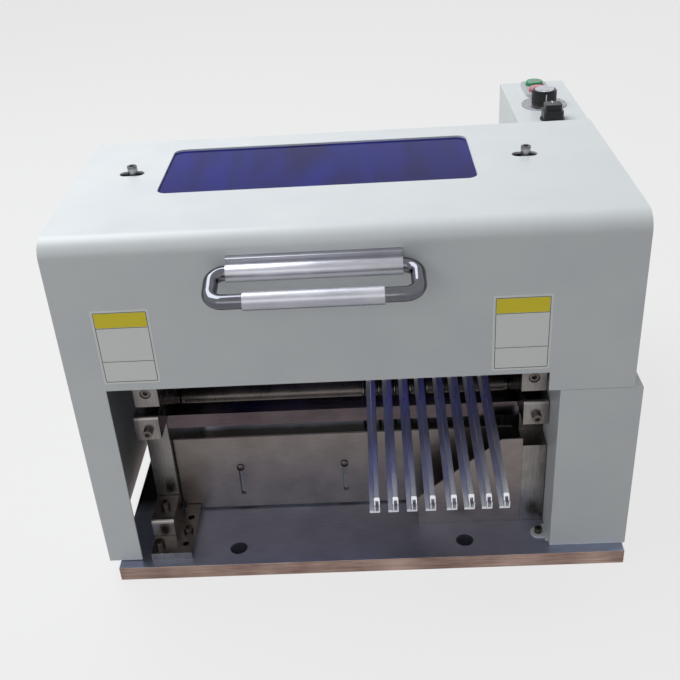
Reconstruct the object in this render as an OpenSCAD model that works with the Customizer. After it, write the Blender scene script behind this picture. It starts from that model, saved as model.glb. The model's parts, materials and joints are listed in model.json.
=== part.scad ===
// Multi-blade separator for scored circuit boards, bench-top, powered.
// Lengths are in millimetres and angles in degrees.
// The part's origin is the centre of the base plate's underside, +Z is up and +Y is to the rear.
// Places below are counted from the machine datum: the hood's middle in X, the hood's front
// face in Y, and the top of the base plate in Z.

/* [Base plate] */
// Width of the base plate
base_w = 514.5; // [505:0.5:530]
// Depth of the base plate
base_d = 460; // [455:1:480]
// Thickness of the base plate
base_t = 16; // [10:1:25]
// How far the base plate stands in front of the hood
base_lead = 11; // [5:1:30]
// Diameter of the four bolt-down holes
bolt_hole_d = 18; // [10:1:20]
// Spacing of the bolt-down holes across the width
bolt_dx = 235; // [180:1:280]
// Spacing of the bolt-down holes along the depth
bolt_dy = 414; // [400:1:420]
// Front bolt-down holes, behind the hood's front face
bolt_front = 13; // [10:1:16]

/* [Hood] */
// Width of the hood
hood_w = 520; // [516:1:530]
// Depth of the hood, front face to rear edge
hood_d = 251; // [249:1:255]
// Height of the hood's top above the base plate
hood_h = 362; // [360:1:366]
// How far the hood stands out past the left edge of the base plate
hood_over = 11.5; // [8:0.5:14]
// Thickness of the hood's sheet
hood_sheet = 2; // [1.5:0.5:2.5]
// Outer radius of the hood's front top bend
hood_bend_r = 17; // [8:1:24]
// Width of the hood's left front leg
hood_leg_w = 34; // [28:1:36]
// Height of the front opening's top edge
mouth_h = 210.5; // [206:0.5:216]
// Gap under the hood's lower edges when it is shut
hood_gap = 0.8; // [0.5:0.1:1.5]
// Opening angle that the hinges allow
hood_open = 80; // [60:5:90]

/* [Window] */
// Width of the clear opening in the hood's top
window_w = 300; // [240:5:310]
// Depth of the clear opening in the hood's top
window_d = 120; // [100:5:130]
// Corner radius of the opening
window_r = 10; // [5:1:20]
// Thickness of the tinted acrylic
window_t = 4; // [3:0.5:5]
// How far the acrylic laps under the sheet all round
window_lap = 9; // [6:1:10]
// Centre of the window, right of the hood's middle
window_x = -23.75; // [-30:0.25:-18]
// Centre of the window, behind the hood's front face
window_y = 160.5; // [150:0.5:165]

/* [Handle] */
// Length of the aluminium rail on the hood's face
rail_len = 150; // [130:5:170]
// Middle of the handle, right of the hood's middle
handle_x = -24; // [-40:1:0]
// Drop of the handle's root below the top of the hood
handle_drop = 31; // [29:1:60]
// Reach of the grip, from tube centre to tube centre
handle_reach = 36; // [32:1:45]
// Droop of the grip below level
handle_droop = 14.5; // [0:0.5:25]
// Diameter of the chromed end tubes
handle_tube_d = 13; // [10:0.5:14]
// Bend radius of the chromed end tubes
handle_bend_r = 12; // [11:0.5:15]
// Diameter of the aluminium grip
grip_d = 16; // [14:0.5:18]
// Length of the aluminium grip
grip_len = 117; // [90:1:120]

/* [Frame] */
// Clear width between the two side plates
field_w = 362; // [340:1:364]
// Thickness of the side plates
plate_t = 24; // [20:1:25]
// Height of the side plates
plate_h = 152; // [148:1:160]
// Front edge of the side plates, behind the hood's face
plate_front = 68; // [64:1:72]
// Rear edge of the side plates, behind the hood's face
plate_back = 246; // [236:1:247]
// Depth of the crossbar brackets
bracket_d = 28; // [20:1:32]
// Height of the crossbar brackets
bracket_h = 28; // [24:1:30]
// Thickness of the front crossbar
crossbar_h = 16; // [12:1:18]
// Depth of the front crossbar
crossbar_d = 18; // [14:1:24]
// Front face of the crossbar, behind the hood's face
crossbar_front = 70; // [68:1:74]

/* [Blades] */
// Height of the lower shaft's axis
lower_z = 94; // [92:1:96]
// Distance between the two shafts, which is the gears' pitch diameter
shaft_dz = 91; // [88:1:94]
// Position of both shafts, behind the hood's face
shaft_y = 158; // [154:1:160]
// Diameter of the blade shafts
shaft_d = 20; // [16:1:22]
// Gap between the upper and lower blade edges at rest
blade_gap = 1; // [0.5:0.1:2]
// Thickness of each blade
blade_t = 3; // [2:0.5:4]
// Diameter of the spacer sleeves between the blades
spacer_d = 50; // [40:1:56]
// Teeth on each of the two gears
gear_teeth = 28; // [24:4:32]
// Face width of the gears
gear_w = 15; // [10:1:18]
// Lift of the upper shaft for thicker boards
carriage_lift = 4; // [2:0.5:5]
// Height of the upper bearing blocks
block_h = 76; // [74:1:80]
// Diameter of the guide pillars
pillar_d = 12; // [10:1:13]
// Spacing of the guide pillars along the depth
pillar_dy = 116; // [110:1:120]
// Thickness of the bridges over the blocks
bridge_t = 14; // [10:1:16]

/* [Guide rails] */
// Left edge of the first rail, before the right side plate
first_rail_in = 155; // [152:0.5:163]
// Pitch of the four left rails
pitch_a = 16.8; // [15:0.1:17]
// Pitch of the four right rails
pitch_b = 15.7; // [15:0.1:17]
// Step between the two groups of rails
group_step = 19.1; // [16:0.1:20]
// Width of a rail's upright rib
rib_w = 5; // [4:0.25:6]
// Height of a rail's upright rib
rib_h = 11; // [9:0.5:12]
// Width of the ledge beside the rib
ledge_w = 4.3; // [3:0.1:4.5]
// Thickness of the ledge
ledge_t = 2.8; // [2:0.1:3]
// Slope of the rails down to the front
rail_slope = 7.6; // [4:0.1:9]
// How far the rails stand out in front of the hood's face
rail_out = 70; // [40:1:90]

/* [Guard plate] */
// Height of the sliding guard plate
guard_h = 93; // [80:1:94]
// Thickness of the guard plate
guard_t = 2.5; // [1.5:0.5:3]
// Gap under the guard plate when it is down
guard_gap = 2.3; // [1:0.1:4]
// Lift of the guard plate in its slots
guard_lift = 15; // [8:1:15]
// Length of the guard plate's slots, between the ends' centres
guard_slot = 35; // [20:1:38]

/* [Discharge baffle] */
// Width of the baffle, before the right side plate
baffle_w = 106; // [90:1:108]
// Height of the baffle
baffle_h = 107; // [100:1:110]
// Thickness of the baffle's sheet
baffle_t = 2; // [1.5:0.5:3]

/* [Right housing] */
// Width of the drive and control housing
box_w = 76; // [72:1:80]
// Height of the low part, under the hood
box_low_h = 190; // [186:1:194]
// Height of the tall part, behind the hood
box_high_h = 347; // [340:1:350]
// Thickness of the housing's sheet
box_sheet = 2; // [1.5:0.5:2.5]
// Clearance between the right side plate and the housing
box_gap = 0.75; // [0.5:0.25:2]
// Diameter of the speed knob
knob_d = 28; // [22:1:34]
// Height of the speed knob
knob_h = 16; // [12:1:22]
// Diameter of the scale plate under the speed knob
scale_d = 51; // [40:1:60]
// Stroke of the start and stop buttons
button_stroke = 2.5; // [1.5:0.5:4]

/* [Drive] */
// Pitch diameter of the pulley on the lower shaft
shaft_pulley_d = 60; // [50:1:66]
// Pitch diameter of the motor pulley
motor_pulley_d = 36; // [30:1:44]
// Thickness of the drive belt
belt_t = 3; // [2:0.5:4]
// Width of the drive belt
belt_w = 15; // [10:1:18]
// Position of the motor, behind the hood's face
motor_y = 345; // [330:1:360]
// Height of the motor's axis
motor_z = 62; // [52:1:70]
// Side of the square gear head
motor_side = 80; // [60:1:90]

/* [Infeed] */
// Rear edge of the infeed table, behind the hood's face
table_back = 430; // [400:1:440]
// Thickness of the infeed table's sheet
table_t = 4; // [3:0.5:5]

/* [Hidden] */

round_fn = 64;
eps = 0.01;
clear = 0.3;
run_fit = 0.05;
seat_fit = 0.02;
tap_fit = 0.1;
screw_d = 6;
small_screw_d = 5;
screw_bite = 8;

// Machine datum in the part's frame
datum_x = hood_w / 2 - base_w / 2 - hood_over;
datum_y = base_lead - base_d / 2;
module datum() { translate([datum_x, datum_y, base_t]) children(); }

// Side plates: inner faces, middles, and the shift of the upper blocks towards the middle
frame_inset = 66;
field_l = frame_inset - hood_w / 2;
field_r = field_l + field_w;
plate_l_mid = field_l - plate_t / 2;
plate_r_mid = field_r + plate_t / 2;
block_shift = 4;
block_l_mid = plate_l_mid + block_shift;
block_r_mid = plate_r_mid - block_shift;
side_mids = [plate_l_mid, plate_r_mid];
block_mids = [block_l_mid, block_r_mid];

// Upper bearing blocks, which slide on two pillars each side
block_gap = plate_t / 2;
block_z = plate_h + block_gap;
block_top = block_z + block_h;
block_front = plate_front - bracket_d;
block_back = plate_back - 10;
pillar_x = [(plate_l_mid + block_l_mid) / 2, (plate_r_mid + block_r_mid) / 2];
pillar_ys = [shaft_y - pillar_dy / 2, shaft_y + pillar_dy / 2];
pillar_seat = plate_t;
pillar_tap = bridge_t - 4;
bridge_top = hood_h - plate_t / 2;
bridge_z = bridge_top - bridge_t;
spring_wire = 2;
spring_r = pillar_d / 2 + 1.9;
spring_pocket_r = spring_r + spring_wire / 2 + 0.5;
spring_pocket = 20;
spring_turns = 4;

// Adjusting screws, which hang in the bridges and lift the blocks
adjust_x = [plate_l_mid, plate_r_mid - block_shift / 2];
adjust_y = shaft_y - 1;
adjust_d = 9.6;
adjust_top = hood_h + 8;
adjust_bottom = block_top - plate_t;
adjust_tap = adjust_bottom - 7.5;
adjust_collar_d = 16;
adjust_collar_h = 5;
slot_l = 24.5;
slot_w = 13;
nut_af = 16;
nut_h = 8;

// Bearings for the shafts
bearing_d = 42;
bearing_w = 12;

// Blades and the places along the shafts
upper_z = lower_z + shaft_dz;
blade_r = (shaft_dz - blade_gap) / 2;
blade_bevel = 1.2;
rail_w = ledge_w + rib_w;
rails_per_group = 4;
first_rail_x = field_r - first_rail_in;
rail_count = 2 * rails_per_group;
function rail_x(i) = i < rails_per_group
  ? first_rail_x + i * pitch_a
  : first_rail_x + (rails_per_group - 1) * pitch_a + group_step + (i - rails_per_group) * pitch_b;
edge_gap = (pitch_a - rail_w) / 2;
function blade_x(i) = i == 0 ? first_rail_x - edge_gap
  : i == rail_count ? rail_x(rail_count - 1) + rail_w + edge_gap
  : (rail_x(i - 1) + rail_w + rail_x(i)) / 2;
blade_xs = [for (i = [0:rail_count]) blade_x(i)];
stack_gap = 6;
lower_stack = [field_l + stack_gap, field_r - stack_gap];
upper_stack = [block_l_mid + plate_t / 2 + stack_gap, block_r_mid - plate_t / 2 - stack_gap];

// Gears and pulleys on the shafts' right ends
gear_x = field_r + plate_t + 5;
gear_module = shaft_dz / gear_teeth;
gear_backlash = 0.5;
pulley_x = gear_x + gear_w + 5;
pulley_w = belt_w + 3;
flange_t = 1.5;
flange_h = 3;

// Crossbar, guide rails and their slope
crossbar_top = plate_h - 20.3;
rail_back = shaft_y - blade_r - 1.5;
rail_run = (rail_back + rail_out) / cos(rail_slope);

// Guard plate
guard_y = crossbar_front + crossbar_d / 2 - 2;
guard_l = field_l + 1;
guard_r = field_r - 5;
guard_slots_x = [field_l + 68.5, field_l + 180];
guard_screw_z = 56;
guard_slot_w = 5;
post_d = 14;

// Handle
handle_z = hood_h - handle_drop;

// Right housing
box_l = field_r + plate_t + box_gap;
box_r = box_l + box_w;
box_front = 0.6;
step_y = hood_d + 1.2;
box_back = base_d - base_lead;
knob_x = box_l + box_w / 2;
knob_y = 357;
selector_y = 303;
buttons_y = 413;
bushing_d = 12;
spindle_d = 6;
selector_d = 22;

// Hinges of the hood
panel_t = 2;
knuckle_r = 3;
hinge_pin_r = 1.5;
leaf_t = 1.5;
leaf_w = 64;
leaf_reach = 20;
knuckles = 5;
knuckle_pitch = leaf_w / knuckles;
hinge_xs = [-150, 150];
hinge_y = hood_d + knuckle_r;
hinge_z = hood_h - hood_sheet - knuckle_r;
panel_top = hinge_z - knuckle_r;
panel_y = hood_d - panel_t;

// Infeed
board_z = lower_z + blade_r + blade_gap / 2;
table_top = board_z - 1;
table_front = 188;

// A box from its two corners
module block(low, high) { translate(low) cube(high - low); }

// A cylinder or a bore along X, Y or Z, from its middle's start
module rod_x(x0, x1, y, z, d) {
  translate([x0, y, z]) rotate([0, 90, 0]) cylinder(d = d, h = x1 - x0, $fn = round_fn);
}
module rod_y(y0, y1, x, z, d) {
  translate([x, y1, z]) rotate([90, 0, 0]) cylinder(d = d, h = y1 - y0, $fn = round_fn);
}
module rod_z(z0, z1, x, y, d) {
  translate([x, y, z0]) cylinder(d = d, h = z1 - z0, $fn = round_fn);
}

// A flat outline with round corners, centred
module round_rect(size, r) {
  union() {
    square([size[0] - 2 * r, size[1]], center = true);
    square([size[0], size[1] - 2 * r], center = true);
    for (sx = [-1, 1], sy = [-1, 1])
      translate([sx * (size[0] / 2 - r), sy * (size[1] / 2 - r)]) circle(r = r, $fn = round_fn);
  }
}

// A slot outline along X, centred, by its full length and width
module slot_2d(len, width) {
  union() {
    square([len - width, width], center = true);
    for (s = [-1, 1]) translate([s * (len - width) / 2, 0]) circle(d = width, $fn = round_fn);
  }
}

// A profile in Y and Z, extruded along X from x0 to x1
module along_x(x0, x1) {
  translate([x0, 0, 0]) rotate([90, 0, 90]) linear_extrude(x1 - x0) children();
}

// Socket head cap screw, head upwards, by its thread diameter; the seat is at z = 0
module cap_screw(d, len) {
  head_h = d;
  head_d = 1.6 * d;
  difference() {
    union() {
      cylinder(d = head_d, h = head_h, $fn = 32);
      translate([0, 0, -len]) cylinder(d = d, h = len + eps, $fn = 24);
    }
    translate([0, 0, head_h - 0.5 * d]) cylinder(d = 0.92 * d, h = d, $fn = 6);
  }
}

/* ---- Frame ---- */

module base_plate() color("silver") datum() difference() {
  base_l = -datum_x - base_w / 2;
  block([base_l, -base_lead, -base_t], [base_l + base_w, base_d - base_lead, 0]);
  for (sx = [-1, 1], y = [bolt_front, bolt_front + bolt_dy])
    rod_z(-base_t - 1, 1, bolt_mid_x + sx * bolt_dx / 2, y, bolt_hole_d);
  for (s = base_screws) rod_z(-screw_bite - 1, 1, s[0], s[1], s[2] + tap_fit);
}
bolt_mid_x = -9.5;

// Outline of a side plate in Y and Z; the right one has a lug at its foot
lug_h = 98;
module side_outline(front_foot) {
  polygon([[front_foot, 0], [plate_back, 0], [plate_back, plate_h - 14],
    [plate_back - 14, plate_h], [plate_front, plate_h], [plate_front, lug_h],
    [front_foot, lug_h]]);
}

module side_plate(mid, front_foot) {
  difference() {
    along_x(mid - plate_t / 2, mid + plate_t / 2) side_outline(front_foot);
    rod_x(mid - plate_t / 2 - 1, mid + plate_t / 2 + 1, shaft_y, lower_z, shaft_d + 8);
    rod_x(mid - bearing_w / 2, mid + plate_t, shaft_y, lower_z, bearing_d + 2 * seat_fit);
    // Seats of the pillars
    for (y = pillar_ys)
      rod_z(plate_h - pillar_seat, plate_h + 1, side_pillar_x(mid), y, pillar_d + 2 * seat_fit);
    // Tapped holes of the bracket's screw and, in the right plate's lug, of the baffle's
    rod_y(plate_front - 1, plate_front + screw_bite + 1, mid, bracket_z + bracket_screw_z,
      screw_d + tap_fit);
    if (mid > 0) for (z = baffle_holes) rod_x(field_r - 1, field_r + screw_bite + 1,
      baffle_screw_y, z, small_screw_d + tap_fit);
  }
}
function side_pillar_x(mid) = mid < 0 ? pillar_x[0] : pillar_x[1];

module left_side_plate() color("silver") datum() side_plate(plate_l_mid, plate_front);

module right_side_plate() color("silver") datum() side_plate(plate_r_mid, block_front);

foot_t = 8;
foot_l = field_l - plate_t + 2;
foot_neck = field_l + 4;
foot_r = foot_neck + 16;
foot_back = plate_front + 8;
foot_screw_x = (foot_neck + foot_r) / 2;
foot_screw_y = 34;
foot_hole_dy = 20.5;
foot_bore = 1.5;
foot_corner = [foot_l + 7.4, 13];
module left_foot_plate() color("silver") datum() difference() {
  union() {
    block([foot_l, 0, 0], [foot_neck + eps, plate_front - clear, foot_t]);
    block([foot_neck, 0, 0], [foot_r, foot_back, foot_t]);
  }
  for (s = [-1, 1]) rod_z(-1, foot_t + 1, foot_screw_x, foot_screw_y + s * foot_hole_dy, 7);
  rod_z(foot_t - foot_bore, foot_t + 1, foot_screw_x, foot_screw_y, 11);
  rod_z(-1, foot_t + 1, foot_screw_x, foot_screw_y, screw_d + 0.4);
  rod_z(-1, foot_t + 1, foot_corner[0], foot_corner[1], screw_d + 0.4);
  rod_z(-1, foot_t + 1, plate_l_mid, foot_block_screw_y, screw_d + 0.4);
}

foot_block_front = 27;
foot_block_top = 29;
module left_foot_block() color("silver") datum() difference() {
  r = 5;
  along_x(field_l - plate_t, field_l) union() {
    translate([foot_block_front, foot_t])
      square([plate_front - clear - foot_block_front, foot_block_top - foot_t - r]);
    translate([foot_block_front + r, foot_t])
      square([plate_front - clear - foot_block_front - r, foot_block_top - foot_t]);
    translate([foot_block_front + r, foot_block_top - r]) circle(r = r, $fn = round_fn);
  }
  rod_z(-1, foot_block_top + 1, plate_l_mid, foot_block_screw_y, screw_d + 0.4);
}
foot_block_screw_y = 50;

// Bracket in front of each side plate, with a round front top edge
bracket_z = plate_h - bracket_h;
module crossbar_brackets() color("silver") datum() for (mid = side_mids) difference() {
  r = 6;
  along_x(mid - plate_t / 2 - 1, mid + plate_t / 2) union() {
    translate([block_front, bracket_z]) square([bracket_d - clear, bracket_h - r]);
    translate([block_front + r, bracket_z]) square([bracket_d - clear - r, bracket_h]);
    translate([block_front + r, plate_h - r]) circle(r = r, $fn = round_fn);
  }
  rod_y(block_front - 1, plate_front, mid, bracket_z + bracket_screw_z, screw_d + 0.4);
}
bracket_screw_z = 10;

// Polished bar on which the guide rails rest; its top follows their slope
module front_crossbar() color("gainsboro") datum() difference() {
  rise = crossbar_d * tan(rail_slope);
  along_x(field_l + seat_fit, field_r - seat_fit) polygon([
    [crossbar_front, crossbar_top - crossbar_h],
    [crossbar_front + crossbar_d, crossbar_top - crossbar_h],
    [crossbar_front + crossbar_d, crossbar_top + rise],
    [crossbar_front, crossbar_top]]);
  for (i = [0:rail_count - 1]) at_rail(i)
    translate([rail_w / 2, crossbar_d / 2, 0])
      translate([0, 0, -2 * crossbar_h]) cylinder(d = 3.4, h = 3 * crossbar_h, $fn = 24);
}

// The frame of rail i: X to the right of its left edge, Y up the slope from the crossbar's
// front top edge, Z square to the slope
module at_rail(i) {
  translate([rail_x(i), crossbar_front, crossbar_top]) rotate([rail_slope, 0, 0]) children();
}

// Rail with a ledge on the left, an upright rib on the right and a groove between them
module guide_rails() color("gainsboro") datum() {
  front = -(crossbar_front + rail_out) / cos(rail_slope);
  back = (rail_back - crossbar_front) / cos(rail_slope);
  groove = 0.8;
  for (i = [0:rail_count - 1]) at_rail(i) difference() {
    translate([0, back, 0]) rotate([90, 0, 0]) linear_extrude(back - front) polygon([
      [0, 0], [rail_w, 0], [rail_w, rib_h - 0.8], [rail_w - 0.8, rib_h],
      [ledge_w + 0.4, rib_h], [ledge_w, rib_h - 0.4], [ledge_w, ledge_t / 2],
      [ledge_w - groove, ledge_t / 2], [ledge_w - groove, ledge_t], [0, ledge_t]]);
    // Hollow, bevelled front end of the rib
    translate([ledge_w + 1, front - 1, 2]) cube([rib_w - 2, 13, rib_h - 4.5]);
    translate([ledge_w - 1, front - 4, rib_h]) rotate([-35, 0, 0])
      translate([0, -4, 0]) cube([rib_w + 2, 14, 8]);
    // Lead-in at the blades
    translate([-1, back, ledge_t - 1.5]) rotate([-20, 0, 0]) translate([0, -6, 0])
      cube([ledge_w + 0.9, 12, 6]);
    // Tapped hole from below
    translate([rail_w / 2, crossbar_d / 2, -1]) cylinder(d = 3.2, h = 2.6, $fn = 24);
  }
}

module rail_screws() color("dimgray") datum() for (i = [0:rail_count - 1]) at_rail(i)
  translate([rail_w / 2, crossbar_d / 2, -crossbar_h - rail_screw_drop]) mirror([0, 0, 1])
    cap_screw(3, crossbar_h + rail_screw_drop + 1.4);
rail_screw_drop = 2.6;

/* ---- Guard plate ---- */

module guard_plate() color("lightgray") datum() difference() {
  block([guard_l, guard_y, guard_gap], [guard_r, guard_y + guard_t, guard_gap + guard_h]);
  for (x = guard_slots_x)
    translate([x, guard_y + guard_t + 1, guard_screw_z - guard_slot / 2]) rotate([90, 90, 0])
      linear_extrude(guard_t + 2) slot_2d(guard_slot + guard_slot_w, guard_slot_w);
}

module guard_posts() color("silver") datum() for (x = guard_slots_x) difference() {
  y0 = guard_y + guard_t + clear;
  union() {
    block([x - 8, y0, 0], [x + 8, y0 + post_d, guard_screw_z + 14]);
    block([x - 8, y0, 0], [x + 8, y0 + post_d + 16, post_foot_t]);
  }
  rod_y(y0 - 1, y0 + 10, x, guard_screw_z, 3.2);
  rod_z(-1, post_foot_t + 1, x, post_screw_y, 5.5);
}
post_foot_t = 5;
post_screw_y = guard_y + guard_t + clear + post_d + 8;

// Pan head screws that clamp the guard plate at the tops of its slots
module guard_screws() color("silver") datum() for (x = guard_slots_x)
  translate([x, guard_y - clear, guard_screw_z]) rotate([90, 0, 0]) difference() {
    union() {
      rotate_extrude($fn = 32) union() {
        square([4, 1.2]);
        translate([0, 1.2]) intersection() {
          translate([0, -4]) circle(r = 5.6, $fn = 48);
          square([4, 2]);
        }
      }
      translate([0, 0, -guard_t - 2 * clear - 9]) cylinder(d = 3.1, h = guard_t + 10, $fn = 24);
    }
    for (a = [0, 90]) rotate(a) translate([-2, -0.4, 1.6]) cube([4, 0.8, 2]);
  }

// Folded plate that closes the right of the bay, cut off at the top left corner
baffle_l = field_r - baffle_w;
baffle_flange = bracket_d - 4;
baffle_holes = [0.2 * baffle_h, 0.65 * baffle_h];
module discharge_baffle() color("lightgray") datum() difference() {
  union() {
    translate([0, block_front + baffle_t, 0]) rotate([90, 0, 0]) linear_extrude(baffle_t)
      polygon([[baffle_l, 0], [field_r - seat_fit, 0], [field_r - seat_fit, baffle_h],
        [field_r - 0.2 * baffle_w, baffle_h], [baffle_l, baffle_h / 3]]);
    block([field_r - baffle_t - seat_fit, block_front, 0],
      [field_r - seat_fit, block_front + baffle_flange, 0.85 * baffle_h]);
  }
  for (z = baffle_holes) rod_x(field_r - 2 * baffle_t, field_r + 1, baffle_screw_y, z, 5.4);
}
baffle_screw_y = block_front + bracket_d / 2;

/* ---- Housing, rear panel and hood ---- */

module box_outline(inset) {
  polygon([[box_front + inset, inset], [box_back - inset, inset],
    [box_back - inset, box_high_h - inset], [step_y + inset, box_high_h - inset],
    [step_y + inset, box_low_h - inset], [box_front + inset, box_low_h - inset]]);
}

rear_door_z0 = 30;
rear_door_z1 = 320;
door_lap = 8;
module right_housing() color("gainsboro") datum() difference() {
  union() {
    difference() {
      along_x(box_l, box_r) box_outline(0);
      along_x(box_l + box_sheet, box_r - box_sheet) box_outline(box_sheet);
    }
    // Screwed ear at the foot of the front
    difference() {
      union() {
        block([ear_x, ear_y - 12, 0], [box_l + eps, ear_y + 12, box_sheet]);
        rod_z(0, box_sheet, ear_x, ear_y, 16);
      }
      rod_z(-1, box_sheet + 1, ear_x, ear_y, 5.5);
      for (s = [-1, 1]) block([ear_x - 9, s > 0 ? ear_y + 8 : ear_y - 20, -1],
        [box_l - 3, s > 0 ? ear_y + 20 : ear_y - 8, box_sheet + 1]);
    }
  }
  // Open top of the low part, under the hood
  block([box_l + box_sheet, 20, box_low_h - 3], [box_r - 12, step_y - 10, box_low_h + 1]);
  // Passages for the two shafts, open to the top, and for the motor's shaft
  block([box_l - 1, shaft_y - 18, lower_z - 18],
    [box_l + box_sheet + 1, shaft_y + 18, box_low_h + 1]);
  rod_x(box_l - 1, box_l + box_sheet + 1, motor_y, motor_z, 30);
  // Rear service opening behind the cover
  block([box_l + 12, box_back - box_sheet - 1, rear_door_z0],
    [box_r - 12, box_back + 1, rear_door_z1]);
  // Holes of the controls
  rod_z(box_high_h - box_sheet - 1, box_high_h + 1, knob_x, knob_y, bushing_d + 2 * seat_fit);
  rod_z(box_high_h - box_sheet - 1, box_high_h + 1, knob_x, selector_y, 18);
  translate([knob_x, buttons_y, box_high_h - box_sheet - 1]) linear_extrude(box_sheet + 2)
    square([22, 46], center = true);
}
ear_x = box_l - 8.4;
ear_y = 19.3;

cover_t = 2;
inlet_z = 70;
module housing_rear_cover() color("gainsboro") datum() difference() {
  block([box_l + 12 - door_lap, box_back, rear_door_z0 - door_lap],
    [box_r - 12 + door_lap, box_back + cover_t, rear_door_z1 + door_lap]);
  block([knob_x - 14, box_back - 1, inlet_z - 10], [knob_x + 14, box_back + cover_t + 1,
    inlet_z + 10]);
  // Rows of cooling slots
  for (i = [0:6]) translate([knob_x, box_back + cover_t + 1, 230 + 10 * i]) rotate([90, 0, 0])
    linear_extrude(cover_t + 2) slot_2d(34, 4.2);
  for (sx = [-1, 1], z = [rear_door_z0 - door_lap / 2, rear_door_z1 + door_lap / 2])
    rod_y(box_back - 1, box_back + cover_t + 1, knob_x + sx * 22, z, 4.3);
}

// Appliance inlet with its pins recessed
module power_inlet() color("black") datum() union() {
  difference() {
    union() {
      translate([knob_x, box_back + cover_t + 3, inlet_z]) rotate([90, 0, 0])
        linear_extrude(3) round_rect([50, 24], 4);
      block([knob_x - 13.8, box_back - 18, inlet_z - 9.8],
        [knob_x + 13.8, box_back + cover_t + eps, inlet_z + 9.8]);
    }
    translate([knob_x, box_back + cover_t + 4, inlet_z]) rotate([90, 0, 0]) linear_extrude(18)
      polygon([[-12, -8], [12, -8], [12, 4], [8, 8], [-8, 8], [-12, 4]]);
    for (s = [-1, 1])
      rod_y(box_back - 1, box_back + 8, knob_x + s * 20, inlet_z, 3.4);
  }
  for (p = [[-7, -2], [0, 2], [7, -2]])
    block([knob_x + p[0] - 1, box_back - 14, inlet_z + p[1] - 2],
      [knob_x + p[0] + 1, box_back + cover_t, inlet_z + p[1] + 2]);
}

// Fixed sheet behind the hood that carries its hinges; boards enter under it
panel_l = -hood_w / 2 + hood_sheet + 2;
panel_r = hood_w / 2 - hood_sheet - 2;
rear_mouth_h = 208;
rear_foot = 18;
module rear_panel() color("gainsboro") datum() difference() {
  union() {
    translate([0, hood_d, 0]) rotate([90, 0, 0]) linear_extrude(panel_t) polygon([
      [panel_l, 0], [panel_l + 34, 0], [panel_l + 34, rear_mouth_h],
      [box_l - 10, rear_mouth_h], [box_l - 10, box_low_h + 2], [panel_r, box_low_h + 2],
      [panel_r, panel_top], [panel_l, panel_top]]);
    block([base_left + 2, hood_d - eps, 0], [panel_l + 34, hood_d + rear_foot, panel_t]);
  }
  rod_z(-1, panel_t + 1, panel_screw[0], panel_screw[1], 5.5);
}
base_left = -datum_x - base_w / 2;
panel_screw = [base_left + 13, hood_d + 10];

// Outline of the hood's skin in Y and Z, with the bend at the front top edge
module hood_outline(inset) {
  r = hood_bend_r - inset;
  x0 = inset;
  top = hood_h - inset;
  union() {
    translate([x0 + r, -1]) square([hood_d - x0 - r + 1, top + 1]);
    translate([x0, -1]) square([r + eps, top - r + 1]);
    translate([x0 + r, top - r]) circle(r = r, $fn = round_fn);
  }
}

module hood_shell() color("gainsboro") datum() difference() {
  union() {
    difference() {
      intersection() {
        along_x(-hood_w / 2, hood_w / 2) hood_outline(0);
        block([-hood_w, -1, hood_gap], [hood_w, hood_d, hood_h + 1]);
      }
      along_x(-hood_w / 2 + hood_sheet, hood_w / 2 - hood_sheet) hood_outline(hood_sheet);
    }
    // Hem along the top of the front opening
    block([hood_leg_r, hood_sheet - eps, mouth_h], [mouth_r, hem_w, mouth_h + hood_sheet]);
  }
  // Front opening
  block([hood_leg_r, -1, -1], [mouth_r, hood_sheet + 1, mouth_h]);
  // Step over the housing on the right
  block([mouth_r - eps, -1, -1], [hood_w, hood_d + 1, box_low_h + hood_gap]);
  // Window
  translate([window_x, window_y, hood_h - 2 * hood_sheet]) linear_extrude(4 * hood_sheet)
    round_rect([window_w, window_d], window_r);
  // Slots over the adjusting screws
  for (x = adjust_x) translate([x - 1, adjust_y, hood_h - 2 * hood_sheet])
    linear_extrude(4 * hood_sheet) slot_2d(slot_l, slot_w);
  // Screw holes of the handle
  for (s = [-1, 1]) rod_y(-1, hood_sheet + 1, handle_x + s * rail_len / 3, handle_z + 4, 4.3);
}
hood_leg_r = -hood_w / 2 + hood_leg_w;
mouth_r = box_l - 10.75;
hem_w = 12;

module hood_window() color("midnightblue", 0.9) datum()
  translate([window_x, window_y, hood_h - hood_sheet - window_t]) linear_extrude(window_t)
    round_rect([window_w + 2 * window_lap, window_d + 2 * window_lap], window_r + window_lap);

/* ---- Handle ---- */

// The handle's frame: X along the hood, Y out of the face and Z up, drooping at the root
root_out = 10;
module at_handle() {
  translate([handle_x, -root_out, handle_z]) rotate([handle_droop, 0, 0])
    rotate([0, 0, 180]) children();
}

// Extruded rail: a flange on the hood's face and a round channel for the tube ends
module handle_rail() color("silver") datum() difference() {
  flange_top = handle_z + 12;
  channel_d = handle_tube_d + 3;
  along_x(handle_x - rail_len / 2, handle_x + rail_len / 2) difference() {
    union() {
      translate([-4, handle_z - 4]) square([4, flange_top - handle_z + 4]);
      translate([-root_out, handle_z]) circle(d = channel_d, $fn = round_fn);
      translate([-root_out, handle_z - channel_d / 2]) square([root_out, channel_d * 0.75]);
      translate([-5.5, flange_top - 3]) square([5.5, 3]);
    }
    translate([-root_out, handle_z]) circle(d = handle_tube_d + 2 * seat_fit, $fn = round_fn);
  }
  for (s = [-1, 1]) rod_y(-8, 1, handle_x + s * rail_len / 3, handle_z + 4, 4.3);
}

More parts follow.
